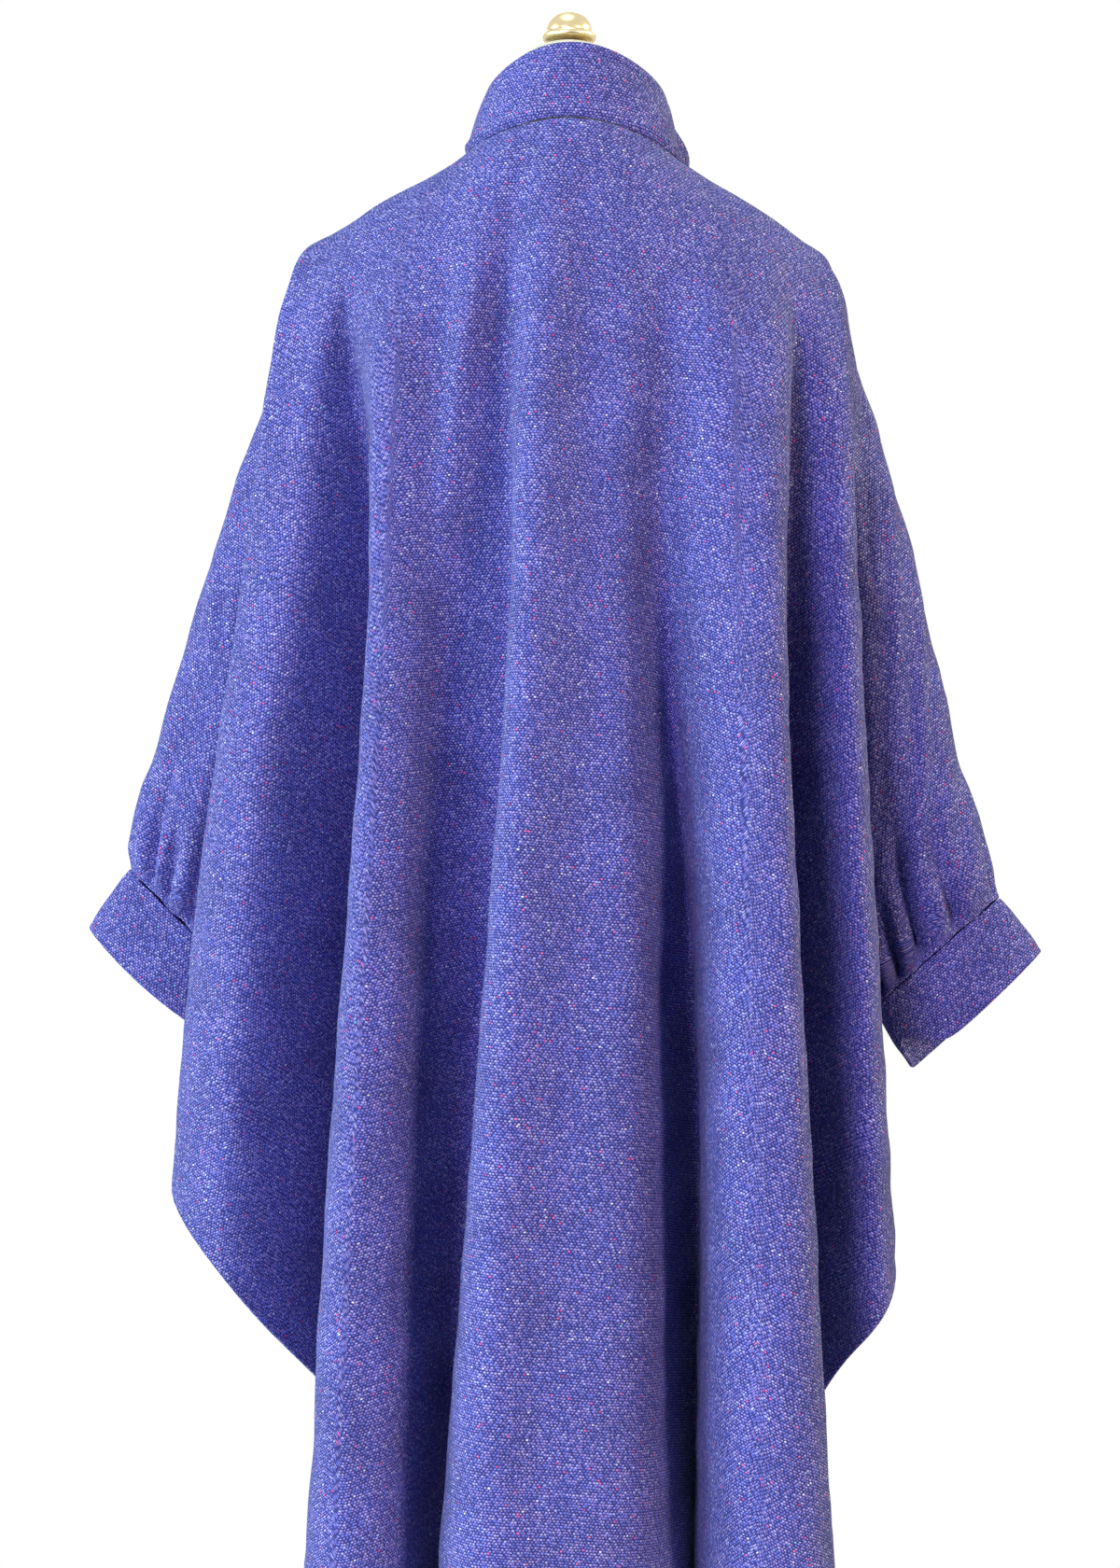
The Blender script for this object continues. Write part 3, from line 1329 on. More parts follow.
@dataclass
class Front(Panel):
    """One front. The left one's folds are mirrored, and its centre lies behind the right one's."""

    name: str = "front"
    folds: tuple[Fold, ...] = FRONT_FOLDS
    front: bool = True
    free_end: bool = True
    side: Side = Side.RIGHT
    lap: float = 0.0040
    lap_ends: float = 0.075
    lap_ease: float = 0.040
    above: int = 44
    below: int = 70
    seed: int = 20

    def __post_init__(self) -> None:
        """Name the front, and mirror the left one's folds."""
        self.name = f"front_{self.side.word}"
        self.flip = self.side is Side.RIGHT
        self.seed += self.side.value
        if self.side is Side.LEFT:
            keys = ("top_x", "x_blade", "x_waist", "x_hip", "x_hem")
            self.folds = tuple(
                fold._replace(**{key: self.mirrored(getattr(fold, key)) for key in keys})
                for fold in self.folds
            )

    @staticmethod
    def mirrored(x: float) -> float:
        """Place on the left front that answers to a place on the right one."""
        shoulder = BLOCK.shoulder_x - BLOCK.neck_x - BLOCK.neck_half_width
        past_neck = np.clip((x - BLOCK.neck_x - BLOCK.neck_half_width) / shoulder, 0, 1)
        return float(2 * BLOCK.neck_x * (1 - past_neck) - x)

    def grid(self) -> Array:
        """Points of the front, the left one's set back at the centre."""
        grid = super().grid()
        if self.side is Side.LEFT:
            apart = grid[..., 0] - BLOCK.neck_x
            grid[..., 1] -= self.lap * smooth_step((self.lap_ends + apart) / self.lap_ease)
        return grid


def turns_around(count: int) -> Array:
    """Places around a sleeve, from the underarm over the front side and the top to the back side."""
    return np.linspace(0.5, 1.5, count, endpoint=False) % 1


@dataclass
class Sleeve:
    """A wide sleeve, gathered into its cuff by pleats.

    It starts just inside the side edges of the back and the front, whose points run from the top.
    """

    side: Side
    back_edge: Array
    front_edge: Array
    around: int = 112
    rows: int = 96
    cloth: float = 0.0020
    seam_inset: float = 0.0027
    underarm_inset: float = 0.0020
    underarm_reach: float = 0.02
    ledge: float = 0.007
    ledge_drop: float = 0.006
    ledge_at: float = 0.04
    pleats_deepest: float = 0.965
    pleat_spread: float = 1.7
    pleat_narrowing: float = 0.7
    pleat_power: float = 1.6
    puff: float = 0.0045
    puff_start: float = 0.80
    puff_rise: float = 0.14
    puff_fall: float = 0.05
    waves: tuple[tuple[float, float], ...] = ((0.070, 0.0012), (0.030, 0.00025))
    waves_start: float = 0.1
    seed: int = 40
    seed_step: int = 5
    skin: Skin = field(init=False)

    def armhole(self) -> Array:
        """Points of the first ring, inside the armhole."""
        middle, half = BLOCK.armhole(self.side)
        ring = np.empty((self.around, 3))
        for i, share in enumerate(turns_around(self.around)):
            turn = 2 * math.pi * share
            z = middle + half * math.cos(turn)
            edge = (self.back_edge if share < 0.5 else self.front_edge)[::-1]
            x, y = (np.interp(z, edge[:, 2], edge[:, axis]) for axis in (0, 1))
            inward = unit(np.array((0.0, math.sin(turn) / BLOCK.armhole_half_depth, -math.cos(turn) / half)))
            near = math.exp(-(((share - 0.5) / self.underarm_reach) ** 2))
            ring[i] = np.array((x, y, z)) + inward * (self.seam_inset + self.underarm_inset * near)
        return ring

    @staticmethod
    def flat_ring(ring: SleeveRing, turns: Array) -> Array:
        """Points of a flattened ring at the given places around."""
        turn = 2 * math.pi * turns
        top = np.array((ring.top_x, ring.top_y, ring.top_z))
        low = np.array((ring.low_x, ring.low_y, ring.low_z))
        deep = np.array((0.0, ring.half_depth, -ring.drop))
        return (top + low) / 2 + np.outer(np.cos(turn), (top - low) / 2) - np.outer(np.sin(turn), deep)

    def gathers(self, along: Array, around: Array) -> Array:
        """How far the cloth stands out, or in at the pleats.

        Args:
            along: Places along the sleeve, 0 to 1.
            around: Places around it, 0 to 1.

        Returns:
            Heights, negative in the pleats.
        """
        rises = smooth_step((along - self.puff_start) / self.puff_rise)
        heights = self.puff * rises * smooth_step((1.0 - along) / self.puff_fall) * np.ones_like(around)
        closes = smooth_step((1 - along) / (1 - self.pleats_deepest))
        for pleat in PLEATS[self.side]:
            grows = smooth_step((along - pleat.start) / (self.pleats_deepest - pleat.start))
            width = pleat.half_width * (self.pleat_spread - self.pleat_narrowing * grows)
            apart = abs((around - pleat.around + 0.5) % 1 - 0.5)
            heights -= pleat.depth * grows * closes * np.exp(-((apart / width) ** self.pleat_power))
        return heights

    def shape(self) -> Skin:
        """Loft the sleeve out of its armhole and through its rings, then gather it."""
        turns, rings = turns_around(self.around), SLEEVE_RINGS[self.side]
        first = self.armhole()
        ledge = first + (self.side.value * self.ledge, 0.0, 0.0)
        ledge[:, 2] -= self.ledge_drop * np.clip(np.cos(2 * math.pi * turns), 0, 1) ** 2
        loops = np.stack([first, ledge] + [self.flat_ring(ring, turns) for ring in rings])
        stations = [0.0, self.ledge_at] + [ring.at for ring in rings]
        along = eased(np.linspace(0, 1, self.rows + 1))
        grid = np.einsum("sr,rac->sac", spline_weights(stations, along), loops)
        skin = Skin(grid, self.cloth, around=True, flip=self.side is Side.RIGHT)
        fade = smooth_step(along / self.waves_start)[:, None]
        seed = self.seed + self.seed_step * self.side.value
        heights = skin.uneven(self.gathers(along[:, None], turns[None]), self.waves, seed, fade)
        skin.points = skin.points + skin.normals() * heights[..., None]
        self.skin = skin
        return skin

    def build(self, finishes: Finishes) -> Object:
        """Args:
            finishes: The object's finishes.

        Returns:
            The piece.
        """
        skin = self.shape()
        name = f"sleeve_{self.side.word}"
        piece = dress(skin.build(name + "_cloth"), finishes.tweed, "tweed", name)
        skin.cut()
        skin.area()
        return piece


@dataclass
class Cuff:
    """A turned cuff band of doubled cloth."""

    side: Side
    around: int = 128
    rows: int = 22
    cloth: float = 0.0030
    seam_step: float = 0.0009
    corner_around: float = 0.42
    corner_half_width: float = 0.055
    bow: float = 0.0012
    waves: tuple[tuple[float, float], ...] = ((0.045, 0.0005),)
    seed: int = 60
    skin: Skin = field(init=False)

    def build(self, finishes: Finishes) -> Object:
        """Args:
            finishes: The object's finishes.

        Returns:
            The piece.
        """
        turns = turns_around(self.around)
        low = Sleeve.flat_ring(SLEEVE_RINGS[self.side][-1], turns)
        high = Sleeve.flat_ring(CUFF_ENDS[self.side], turns)
        hang = CUFF_HANGS[self.side]
        high[:, 2] -= hang.sag * np.sin(2 * math.pi * turns) ** 2
        corner = np.exp(-(((turns - self.corner_around) / self.corner_half_width) ** 2))
        high += np.outer(corner, (hang.pull_x, 0.0, hang.pull_z))
        run = np.linalg.norm(high - low, axis=1).mean()
        start = self.seam_step / run
        share = start + (1 - start) * eased(np.linspace(0, 1, self.rows + 1))[:, None, None]
        skin = Skin(low + (high - low) * share, self.cloth, around=True, flip=self.side is Side.RIGHT)
        swell = self.bow * np.sin(math.pi * share[..., 0]) * np.ones((1, self.around))
        skin.push(skin.uneven(swell, self.waves, self.seed + self.side.value))
        name, sleeve = f"cuff_{self.side.word}", f"sleeve_{self.side.word}"
        piece = dress(skin.build(name + "_cloth"), finishes.tweed, "tweed", name)
        self.skin = skin
        return piece


@dataclass
class Collar:
    """The stand collar of doubled cloth, topstitched inside its free edges, with spread front ends."""

    around: int = 150
    rows: int = 20
    cloth: float = 0.0030
    back_seam_rise: float = 0.0020
    front_seam_rise: float = 0.0026
    seam_degrees: tuple[float, float] = (80.0, 95.0)
    lean_power: float = 1.3
    bow: float = 0.0012
    seam_roll: float = 0.0026
    seam_roll_at: float = 0.11
    seam_roll_reach: float = 0.07
    edge_radius: float = 0.0022
    end_turning_radius: float = 0.108
    waves: tuple[tuple[float, float], ...] = ((0.05, 0.0006),)
    seed: int = 71
    stitch_at: float = 0.0095
    stitch_pitch: float = 0.0036
    stitch_length: float = 0.0029
    stitch_radius: float = 0.00035
    stitch_ends: float = 0.55
    stitch_swell: float = 0.45
    stitch_stations: int = 5
    first_stitch: float = 0.006
    last_stitch: float = 0.008
    edge_steps: tuple[float, ...] = (0.0, 0.0001, 0.0003, 0.0007, 0.0013, 0.0022, 0.0040, 0.0060)
    line_step: float = 0.001
    line_steps: tuple[float, ...] = (-2.0, -1.2, -0.6, 0.0, 0.6, 1.2, 2.0)
    skin: Skin = field(init=False)

    @property
    def close_steps(self) -> Array:
        """Distances from a free edge that have a row or column: the rounded edge and the stitch line."""
        near_stitch = self.stitch_at + self.line_step * np.array(self.line_steps)
        return np.concatenate([self.edge_steps, near_stitch])

    def grid(self) -> Array:
        """Points of the collar, from its top edge down, and from its left end round the back to its right."""
        last = COLLAR_SECTIONS[-1].degrees
        near = np.degrees(self.close_steps / self.end_turning_radius)
        middle = np.linspace(near[-1] - last, last - near[-1], self.around)[1:-1]
        degrees = np.concatenate([near - last, middle, (last - near)[::-1]])
        table = np.array(COLLAR_SECTIONS, float)
        rise, lean = (spline_weights(table[:, 0], degrees) @ table[:, 1:]).T
        fixed = self.close_steps
        rest = eased(np.linspace(0, 1, self.rows + 1)[1:], start=False)
        grid = np.empty((len(fixed) + len(rest), len(degrees), 3))
        for column, degree in enumerate(degrees):
            angle = math.radians(degree)
            front = abs(degree) > 90
            x = BLOCK.neck_x + BLOCK.neck_half_width * math.sin(angle)
            y, z = BLOCK.neck(x, front)
            deep = BLOCK.neck_front if front else BLOCK.neck_back
            outward = unit(np.array((math.sin(angle) / BLOCK.neck_half_width, -math.cos(angle) / deep, 0.0)))
            rises = (self.back_seam_rise, self.front_seam_rise)
            seam_rise = np.interp(abs(degree), self.seam_degrees, rises)
            gone = fixed / rise[column]
            share = 1 - np.concatenate([gone, gone[-1] + rest * (1 - gone[-1])])
            away = lean[column] * share**self.lean_power + self.bow * np.sin(math.pi * share)
            apart = (share - self.seam_roll_at) / self.seam_roll_reach
            away = away + self.seam_roll * np.exp(-(apart**2))
            grid[:, column] = np.array((x, y, z + seam_rise)) + away[:, None] * outward
            grid[:, column, 2] += rise[column] * share
        return grid

    def stitches(self) -> tuple[Array, list[tuple[int, ...]]]:
        """Stitches along the line inside the collar's free edges, on its outer face."""
        outer = self.skin.outer()
        at = len(self.edge_steps) + len(self.line_steps) // 2
        left = outer[:at:-1, at][:-1]
        line = np.concatenate([left, outer[at, at:-at], outer[at + 1 :, -at - 1]])
        run = run_lengths(line)
        starts = np.arange(self.first_stitch, run[-1] - self.last_stitch, self.stitch_pitch)
        shares = np.linspace(0, 1, self.stitch_stations)
        places = starts[:, None] + shares * self.stitch_length
        paths = np.stack([np.interp(places, run, line[:, axis]) for axis in range(3)], axis=-1)
        thick = self.stitch_ends + self.stitch_swell * np.sin(math.pi * shares)
        return tubes(paths, self.stitch_radius * thick * np.ones((len(starts), 1)), 6)

    def build(self, finishes: Finishes) -> Object:
        """Args:
            finishes: The object's finishes.

        Returns:
            The piece.
        """
        skin = Skin(self.grid(), self.cloth, edge_radius=self.edge_radius, stitch_at=self.stitch_at)
        skin.push(skin.uneven(0.0, self.waves, self.seed))
        self.skin = skin
        piece = dress(skin.build("collar_cloth"), finishes.tweed, "tweed", "collar")
        stitches = dress(new_object("collar_topstitch", *self.stitches()), finishes.thread, "tweed")
        return piece


@dataclass
class Button:
    """A round four-hole button with a raised rim, and the threads that hold it."""

    number: int
    radius: float = 0.0125
    thickness: float = 0.0042
    rim: float = 0.0026
    dish: float = 0.0011
    dish_slope: float = 0.0012
    rim_slope: float = 0.0008
    rim_drop: float = 0.0001
    steps: int = 64
    hole_radius: float = 0.0011
    hole_place: float = 0.0021
    hole_steps: int = 20
    thread_radius: float = 0.0005
    thread_gap: float = 0.00045
    thread_rise: float = 0.0008
    thread_dive: float = 0.0026
    thread_reach: float = 1.25
    thread_bend: float = 0.72
    thread_stations: int = 9

    def disc(self) -> Object:
        """The turned button with its four holes, flat on the level of its middle."""
        half = self.thickness / 2
        inner = self.radius - self.rim
        top = [
            (0.0, half - self.dish),
            (inner - self.dish_slope, half - self.dish),
            (inner, half - self.dish * 0.5),
            (inner + self.rim_slope, half - self.rim_drop),
        ]
        side = [(self.radius - half + r, z) for r, z in arc(0.0, half, half, 90, -90, 12)]
        hole = [(0.0, half), (self.hole_radius, half), (self.hole_radius, -2 * half), (0.0, -2 * half)]
        name = f"button_{self.number}_disc"
        piece = turned(name, [*top, *side, (0.0, -half)], self.steps)
        places = [(a * self.hole_place, b * self.hole_place) for a in (-1, 1) for b in (-1, 1)]
        for x, y in places:
            drill = turned("drill", hole, self.hole_steps)
            drill.location = (x, y, half / 2)
            cut = piece.modifiers.new("hole", "BOOLEAN")
            cut.object = drill
            cut.operation = "DIFFERENCE"
            cut.solver = "EXACT"
            bpy.context.view_layer.update()
            graph = bpy.context.evaluated_depsgraph_get()
            bored = bpy.data.meshes.new_from_object(piece.evaluated_get(graph))
            piece.modifiers.clear()
            piece.data = bored
            bpy.data.objects.remove(drill, do_unlink=True)
        piece.data.name = name
        return piece

    def threads(self) -> Object:
        """Two bars of thread over the button, each of three strands."""
        share = np.linspace(-1, 1, self.thread_stations)
        x = self.hole_place * np.clip(share * self.thread_reach, -1, 1)
        dive = self.thread_dive * np.clip(abs(share) - self.thread_bend, 0, 1) * 4
        z = self.thickness / 2 - self.dish + self.thread_rise - dive
        bars = [
            np.stack([x, np.full_like(x, y + aside), z], axis=1)
            for y in (-self.hole_place, self.hole_place)
            for aside in (-self.thread_gap, 0.0, self.thread_gap)
        ]
        radii = np.full((len(bars), len(share)), self.thread_radius)
        return new_object(f"button_{self.number}_thread", *tubes(np.array(bars), radii, 8))

    def build(self, front: Array, finishes: Finishes) -> None:
        """Build the button and set it where its solid is.

        Args:
            front: Points of the right front's centre columns, from the top.
            finishes: The object's finishes.
        """
        node = f"button_{self.number}"
        low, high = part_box(node)
        centre = [(a + b) / 2 for a, b in zip(low, high)]
        heights = (centre[2] - self.radius, centre[2] + self.radius)
        columns = front[::-1].transpose(1, 0, 2)
        below, above = (max(np.interp(z, c[:, 2], c[:, 1]) for c in columns) for z in heights)
        tilt = math.atan2(below - above, 2 * self.radius)
        for piece, material, nodes in (
            (self.disc(), finishes.horn, (node,)),
            (self.threads(), finishes.thread, ()),
        ):
            piece.rotation_euler = (-math.pi / 2 + tilt, 0.0, 0.0)
            piece.location = centre
            dress(piece, material, "button_horn", *nodes)


# ---------------------------------------------------------------- nap
@dataclass
class Nap:
    """Loose fibres that stand out of the tweed and catch the light along its edges."""

    per_area: float = 1500.0
    length: tuple[float, float] = (0.003, 0.009)
    radius: float = 0.00008
    rise: tuple[float, float] = (0.10, 0.45)
    curl: tuple[float, float] = (-0.6, 0.6)
    droop: tuple[float, float] = (0.2, 1.0)
    bend: float = 0.8
    root: float = -0.08
    stations: int = 5

    def build(self, name: str, skin: Skin, seed: int, finishes: Finishes) -> Object:
        """Grow fibres out of a cloth's outer face.

        Args:
            name: The piece's name.
            skin: The cloth.
            seed: Chooses the fibres' places and shapes.
            finishes: The object's finishes.

        Returns:
            The piece.
        """
        chance = np.random.default_rng(seed)
        p, normals = skin.outer(), skin.normals()
        cells = cell_areas(p).ravel()
        count = int(cells.sum() * self.per_area)
        chosen = chance.choice(len(cells), count, p=cells / cells.sum())
        row, column = np.divmod(chosen, p.shape[1] - 1)
        s, t = chance.uniform(0, 1, (2, count, 1))
        root = (1 - s) * ((1 - t) * p[row, column] + t * p[row, column + 1])
        root = root + s * ((1 - t) * p[row + 1, column] + t * p[row + 1, column + 1])
        normal = normals[row, column]
        tangent = unit(np.cross(normal, chance.normal(size=(count, 3))))
        second = unit(np.cross(normal, tangent))
        length = chance.uniform(*self.length, (count, 1))
        rise = chance.uniform(*self.rise, (count, 1))
        curl = chance.uniform(*self.curl, (count, 1))
        droop = chance.uniform(*self.droop, (count, 1))
        paths = []
        for share in np.linspace(self.root, 1, self.stations):
            out = length * rise * (share - droop * share**2 * self.bend)
            paths.append(root + normal * out + tangent * length * share + second * length * curl * share**2)
        radii = self.radius * np.linspace(1, 0.5, self.stations) * np.ones((count, 1))
        piece = new_object(name, *tubes(np.stack(paths, axis=1), radii, 3))
        return dress(piece, finishes.nap, "tweed")


# ---------------------------------------------------------------- the dress form
@dataclass(frozen=True)
class DressForm:
    """Limbless torso with its neck cap, knob, pole and base."""

    around: int = 128
    seams: tuple[float, ...] = (0.0, 0.11, 0.25, 0.39, 0.5, 0.61, 0.75, 0.89)
    seam_depth: float = 0.0006
    seam_reach: float = 0.0016
    seam_steps: tuple[float, ...] = (-0.003, -0.0012, 0.0, 0.0012, 0.003)
    rings_between: int = 6
    cover_width: float = 0.9
    cover_sharp_degrees: float = 50
    cap_edge: float = 0.002
    cap_radius: float = 0.055
    cap_low: float = 1.4630
    cap_rim: float = 1.4720
    cap_top: float = 1.5130
    knob_radius: float = 0.0200
    knob_top: float = 1.5390
    ring_radius: float = 0.0236
    ring_half: float = 0.0038
    groove_radius: float = 0.0186
    groove_rise: float = 0.0078
    knob_rise: float = 0.0096
    knob_foot: float = 0.012
    gap: float = 0.0003
    pole_radius: float = 0.014
    pole_low: float = 0.0503
    socket_top: float = 0.050
    socket_round: tuple[float, float, float] = (0.022, 0.046, 0.004)
    socket_foot: tuple[tuple[float, float], ...] = ((0.026, 0.0300), (0.030, 0.0262))
    base_radius: float = 0.175
    base_crown: tuple[float, float] = (0.012, 0.009)
    base_edge: tuple[tuple[float, float], ...] = ((0.0, 0.003), (0.001, 0.001), (0.003, 0.0))

    def torso(self) -> Object:
        """The covered torso, with the sewn seams of its cover."""
        table = np.array(TORSO_RINGS)
        spans = zip(table[:-1, 0], table[1:, 0])
        fine = [np.linspace(low, high, self.rings_between, endpoint=False) for low, high in spans]
        heights = np.append(np.concatenate(fine), table[-1, 0])
        sizes = spline_weights(table[:, 0], heights) @ table[:, 1:]
        near = (np.array(self.seams)[:, None] + np.array(self.seam_steps)).ravel() % 1
        turns = np.unique(np.concatenate([np.linspace(0, 1, self.around, endpoint=False), near]).round(5))
        turn = 2 * math.pi * turns
        dents = np.zeros_like(turns)
        for seam in self.seams:
            apart = (turns - seam + 0.5) % 1 - 0.5
            dents += self.seam_depth * np.exp(-((apart / self.seam_reach) ** 2))
        deep = np.where(np.sin(turn) < 0, sizes[:, 1:2], sizes[:, 2:3])
        walls = level_rings(sizes[:, :1] - dents, deep - dents, heights[:, None], turn)
        rows, columns = walls.shape[:2]
        points = np.concatenate([walls.reshape(-1, 3), [(0, 0, heights[0]), (0, 0, heights[-1])]])
        index = wrapped(np.arange(rows * columns).reshape(rows, columns))
        lay_u = np.append(turns, 1.0) * self.cover_width * np.ones((rows, 1))
        lay = np.stack([lay_u, heights[:, None] * np.ones((1, columns + 1))], axis=-1)
        faces = Skin.quads(index)[:, ::-1].tolist()
        corners = Skin.quads(lay)[:, ::-1].reshape(-1, 2).tolist()
        for j in range(columns):
            low, high = index[0, j : j + 2], index[-1, j : j + 2]
            faces.append([rows * columns, int(low[1]), int(low[0])])
            faces.append([rows * columns + 1, int(high[0]), int(high[1])])
            corners += points[[rows * columns, low[1], low[0]], :2].tolist()
            corners += points[[rows * columns + 1, high[0], high[1]], :2].tolist()
        piece = new_object("torso_cover", points, faces, np.array(corners))
        piece.data.set_sharp_from_angle(angle=math.radians(self.cover_sharp_degrees))
        return piece

    def build(self, finishes: Finishes) -> None:
        """Build and dress every piece of the form.

        Args:
            finishes: The object's finishes.
        """
        dress(self.torso(), finishes.cover, "form_cover", "form_torso")
        dome = arc(self.cap_rim, self.cap_radius, self.cap_top - self.cap_rim, 90, 0, 24)
        edge = arc(self.cap_low + self.cap_edge, self.cap_edge, self.cap_edge, 0, -90, 4)
        rim = [(self.cap_radius - self.cap_edge + r, z) for r, z in edge]
        cap = turned("neck_cap_cover", [(0.0, self.cap_top), *dome[1:], *rim, (0.0, self.cap_low)])
        dress(cap, finishes.cover, "form_cover", "form_neck_cap")

        seat = self.cap_top + self.gap
        centre = seat + self.knob_rise
        knob = arc(centre, self.knob_radius, self.knob_top - centre, 90, -8, 24)
        groove = [(self.groove_radius, seat + self.groove_rise)]
        rim = arc(seat + self.ring_half, self.ring_half, self.ring_half, 75, -75, 16)
        ring = [(self.ring_radius - self.ring_half + r, z) for r, z in rim]
        foot = [(self.knob_foot, seat), (0.0, seat)]
        finial = turned("finial_knob", [(0.0, self.knob_top), *knob[1:], *groove, *ring, *foot])
        dress(finial, finishes.brass, "brass", "form_finial")

        low, high = self.pole_low, TORSO_RINGS[0].z - self.gap
        pole = [(0.0, high), (self.pole_radius, high), (self.pole_radius, low), (0.0, low)]
        dress(turned("pole_tube", pole, 64), finishes.brass, "brass", "form_pole")

        inner, level, radius = self.socket_round
        socket = [(inner + r, z) for r, z in arc(level, radius, radius, 90, 0, 6)]
        top = arc(self.base_crown[0], self.base_radius, self.base_crown[1], 70, 0, 24)
        edge = [(self.base_radius - inset, z) for inset, z in self.base_edge]
        profile = [(0.0, self.socket_top), *socket, *self.socket_foot, *top, *edge, (0.0, 0.0)]
        dress(turned("base_plate", profile, 128), finishes.paint, "base_paint", "form_base")


# ---------------------------------------------------------------- the studio
class Lamp(NamedTuple):
    """A soft round area light: its place, width, power and colour."""

    name: str
    place: tuple[float, float, float]
    size: float
    power: float
    colour: Colour


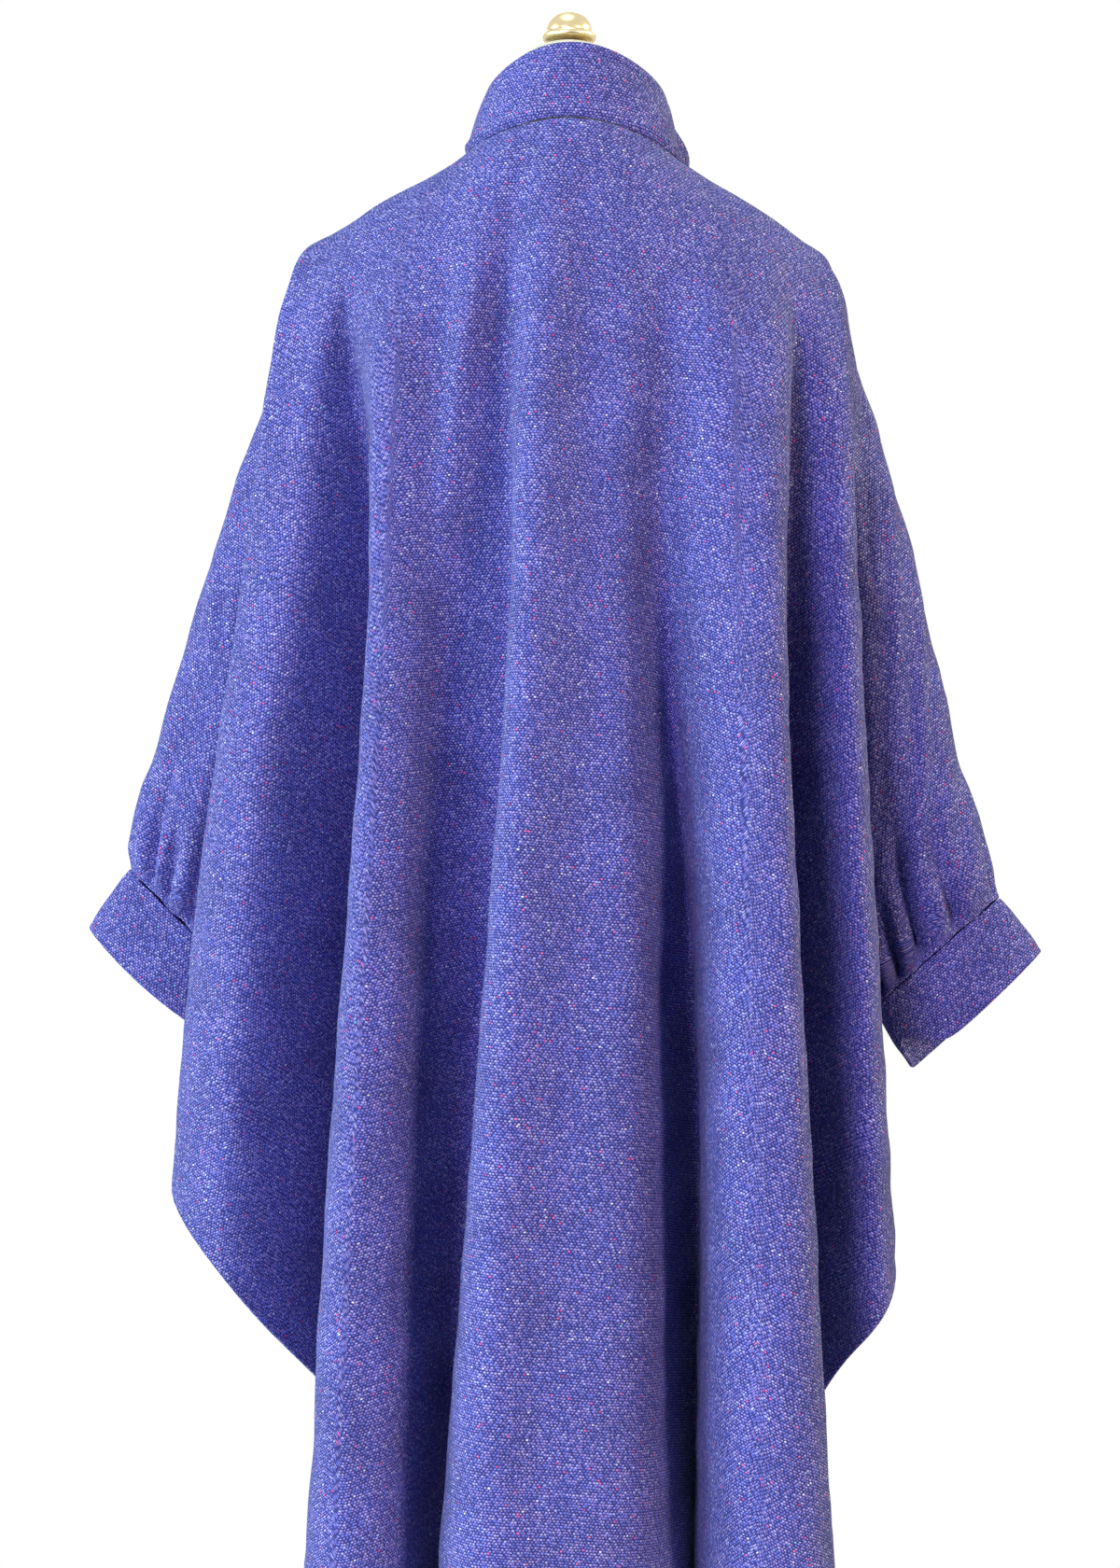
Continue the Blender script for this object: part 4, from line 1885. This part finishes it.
@dataclass(frozen=True)
class Studio:
    """Pale floor, soft lights, white surroundings and the camera."""

    camera_place: tuple[float, float, float] = (-0.0076, -2.32, 0.876)
    lens: float = 62.0
    sensor: float = 36.0
    ambient: float = 0.006
    ambient_colour: Colour = (0.85, 0.90, 1.0)
    white: float = 1.0
    floor_radius: float = 0.68
    floor_rings: tuple[float, ...] = (0.2, 0.4, 1.0)
    floor_steps: int = 96
    floor_drop: float = 0.0005
    floor_fade: float = 0.55
    floor_tones: tuple[Colour, Colour] = ((0.80, 0.80, 0.80), (0.86, 0.86, 0.86))
    aim: tuple[float, float, float] = (0.0, 0.0, 0.9)
    lamps: tuple[Lamp, ...] = (
        Lamp("left", (-4.00, -1.07, 1.63), 1.4, 160.0, (0.79, 1.0, 0.80)),
        Lamp("front", (-1.57, -3.89, 1.05), 1.4, 128.0, (0.77, 0.65, 1.0)),
        Lamp("right", (3.88, 0.34, 2.47), 1.4, 152.0, (0.98, 1.0, 0.58)),
        Lamp("beside", (3.21, -2.69, 1.27), 1.4, 95.0, (1.0, 0.76, 0.62)),
        Lamp("above", (-0.37, -1.02, 4.96), 1.4, 105.0, (0.80, 1.0, 0.94)),
        Lamp("low", (-2.79, -2.79, -0.54), 1.4, 102.0, (0.74, 1.0, 0.89)),
        Lamp("far", (-0.6, 3.4, 2.6), 2.4, 60.0, (0.94, 0.96, 1.0)),
    )

    def camera(self) -> None:
        """Set the camera level, looking at the back."""
        data = bpy.data.cameras.new("camera")
        data.lens = self.lens
        data.sensor_width = self.sensor
        camera = bpy.data.objects.new("camera", data)
        camera.location = self.camera_place
        camera.rotation_euler = (math.pi / 2, 0.0, 0.0)
        bpy.context.scene.collection.objects.link(camera)
        bpy.context.scene.camera = camera

    def lights(self) -> None:
        """Hang the area lights."""
        for lamp in self.lamps:
            data = bpy.data.lights.new(lamp.name, "AREA")
            data.shape = "DISK"
            data.size = lamp.size
            data.energy = lamp.power
            data.color = lamp.colour
            light = bpy.data.objects.new(lamp.name, data)
            light.location = lamp.place
            aim = Vector(self.aim) - Vector(lamp.place)
            light.rotation_euler = aim.to_track_quat("-Z", "Y").to_euler()
            bpy.context.scene.collection.objects.link(light)

    def surroundings(self) -> None:
        """Make the world white to the eye and in reflections, and dim as a light."""
        world = bpy.data.worlds.new("surroundings")
        world.use_nodes = True
        bpy.context.scene.world = world
        nodes, links = world.node_tree.nodes, world.node_tree.links
        dim = nodes["Background"]
        dim.inputs["Color"].default_value = (*self.ambient_colour, 1.0)
        dim.inputs["Strength"].default_value = self.ambient
        bright = nodes.new("ShaderNodeBackground")
        bright.inputs["Color"].default_value = (1.0, 1.0, 1.0, 1.0)
        bright.inputs["Strength"].default_value = self.white
        path = nodes.new("ShaderNodeLightPath")
        seen = nodes.new("ShaderNodeMath")
        seen.operation = "MAXIMUM"
        links.new(path.outputs["Is Camera Ray"], seen.inputs[0])
        links.new(path.outputs["Is Glossy Ray"], seen.inputs[1])
        mix = nodes.new("ShaderNodeMixShader")
        links.new(seen.outputs[0], mix.inputs[0])
        links.new(dim.outputs[0], mix.inputs[1])
        links.new(bright.outputs[0], mix.inputs[2])
        links.new(mix.outputs[0], nodes["World Output"].inputs["Surface"])

    def floor(self) -> None:
        """Lay a round pale floor that fades out towards its rim."""
        turn = np.linspace(0, 2 * math.pi, self.floor_steps, endpoint=False)
        radii = (np.array(self.floor_rings) * self.floor_radius)[:, None]
        points = level_rings(radii, radii, np.zeros_like(radii), turn)
        index = wrapped(np.arange(points[..., 0].size).reshape(points.shape[:2]))
        faces = Skin.quads(index).tolist() + [list(range(self.floor_steps))]
        floor = new_object("floor", points.reshape(-1, 3) - (0, 0, self.floor_drop), faces)
        s = Shader("floor")
        place = s.place()
        length = s.vector("LENGTH", place).node.outputs["Value"]
        tone = s.mix(s.noise(place, 6, 3), *self.floor_tones)
        alpha = s.between(length, self.floor_radius * self.floor_fade, self.floor_radius, 1.0, 0.0)
        floor.data.materials.append(s.finish(Base_Color=tone, Roughness=0.9, Alpha=alpha))

    def build(self) -> None:
        """Build the studio, and show its colours plainly."""
        self.camera()
        self.lights()
        self.surroundings()
        self.floor()
        bpy.context.scene.view_settings.view_transform = "Standard"


def main() -> None:
    """Build the studio, the coat and the dress form in order."""
    logging.basicConfig(level=logging.INFO, format="%(name)s: %(message)s", stream=sys.stdout)
    log.info("nodes to dress: %d", len(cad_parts))
    Studio().build()
    finishes = Finishes.made()
    nap = Nap()

    back = Back()
    back.build(finishes)
    fronts = {side: Front(side=side) for side in Side}
    for front in fronts.values():
        front.build(finishes)
    edges = {Side.LEFT: back.skin.points[:, 0], Side.RIGHT: back.skin.points[:, -1]}
    sleeves = {side: Sleeve(side, edges[side], fronts[side].skin.points[:, 0]) for side in Side}
    cuffs = {side: Cuff(side) for side in Side}
    for side in Side:
        sleeves[side].build(finishes)
        cuffs[side].build(finishes)
    collar = Collar()
    collar.build(finishes)
    centre = fronts[Side.RIGHT].skin.points[:, -2 * fronts[Side.RIGHT].across :]
    for number in range(1, BUTTON_COUNT + 1):
        Button(number).build(centre, finishes)

    nap.build("nap_back", back.skin, NAP_SEEDS["back"], finishes)
    for number, side in enumerate(Side):
        for word, pieces in (("front", fronts), ("sleeve", sleeves), ("cuff", cuffs)):
            seed = NAP_SEEDS[word] + number
            nap.build(f"nap_{word}_{side.word}", pieces[side].skin, seed, finishes)
    nap.build("nap_collar", collar.skin, NAP_SEEDS["collar"], finishes)

    DressForm().build(finishes)


if __name__ == "__main__":
    main()
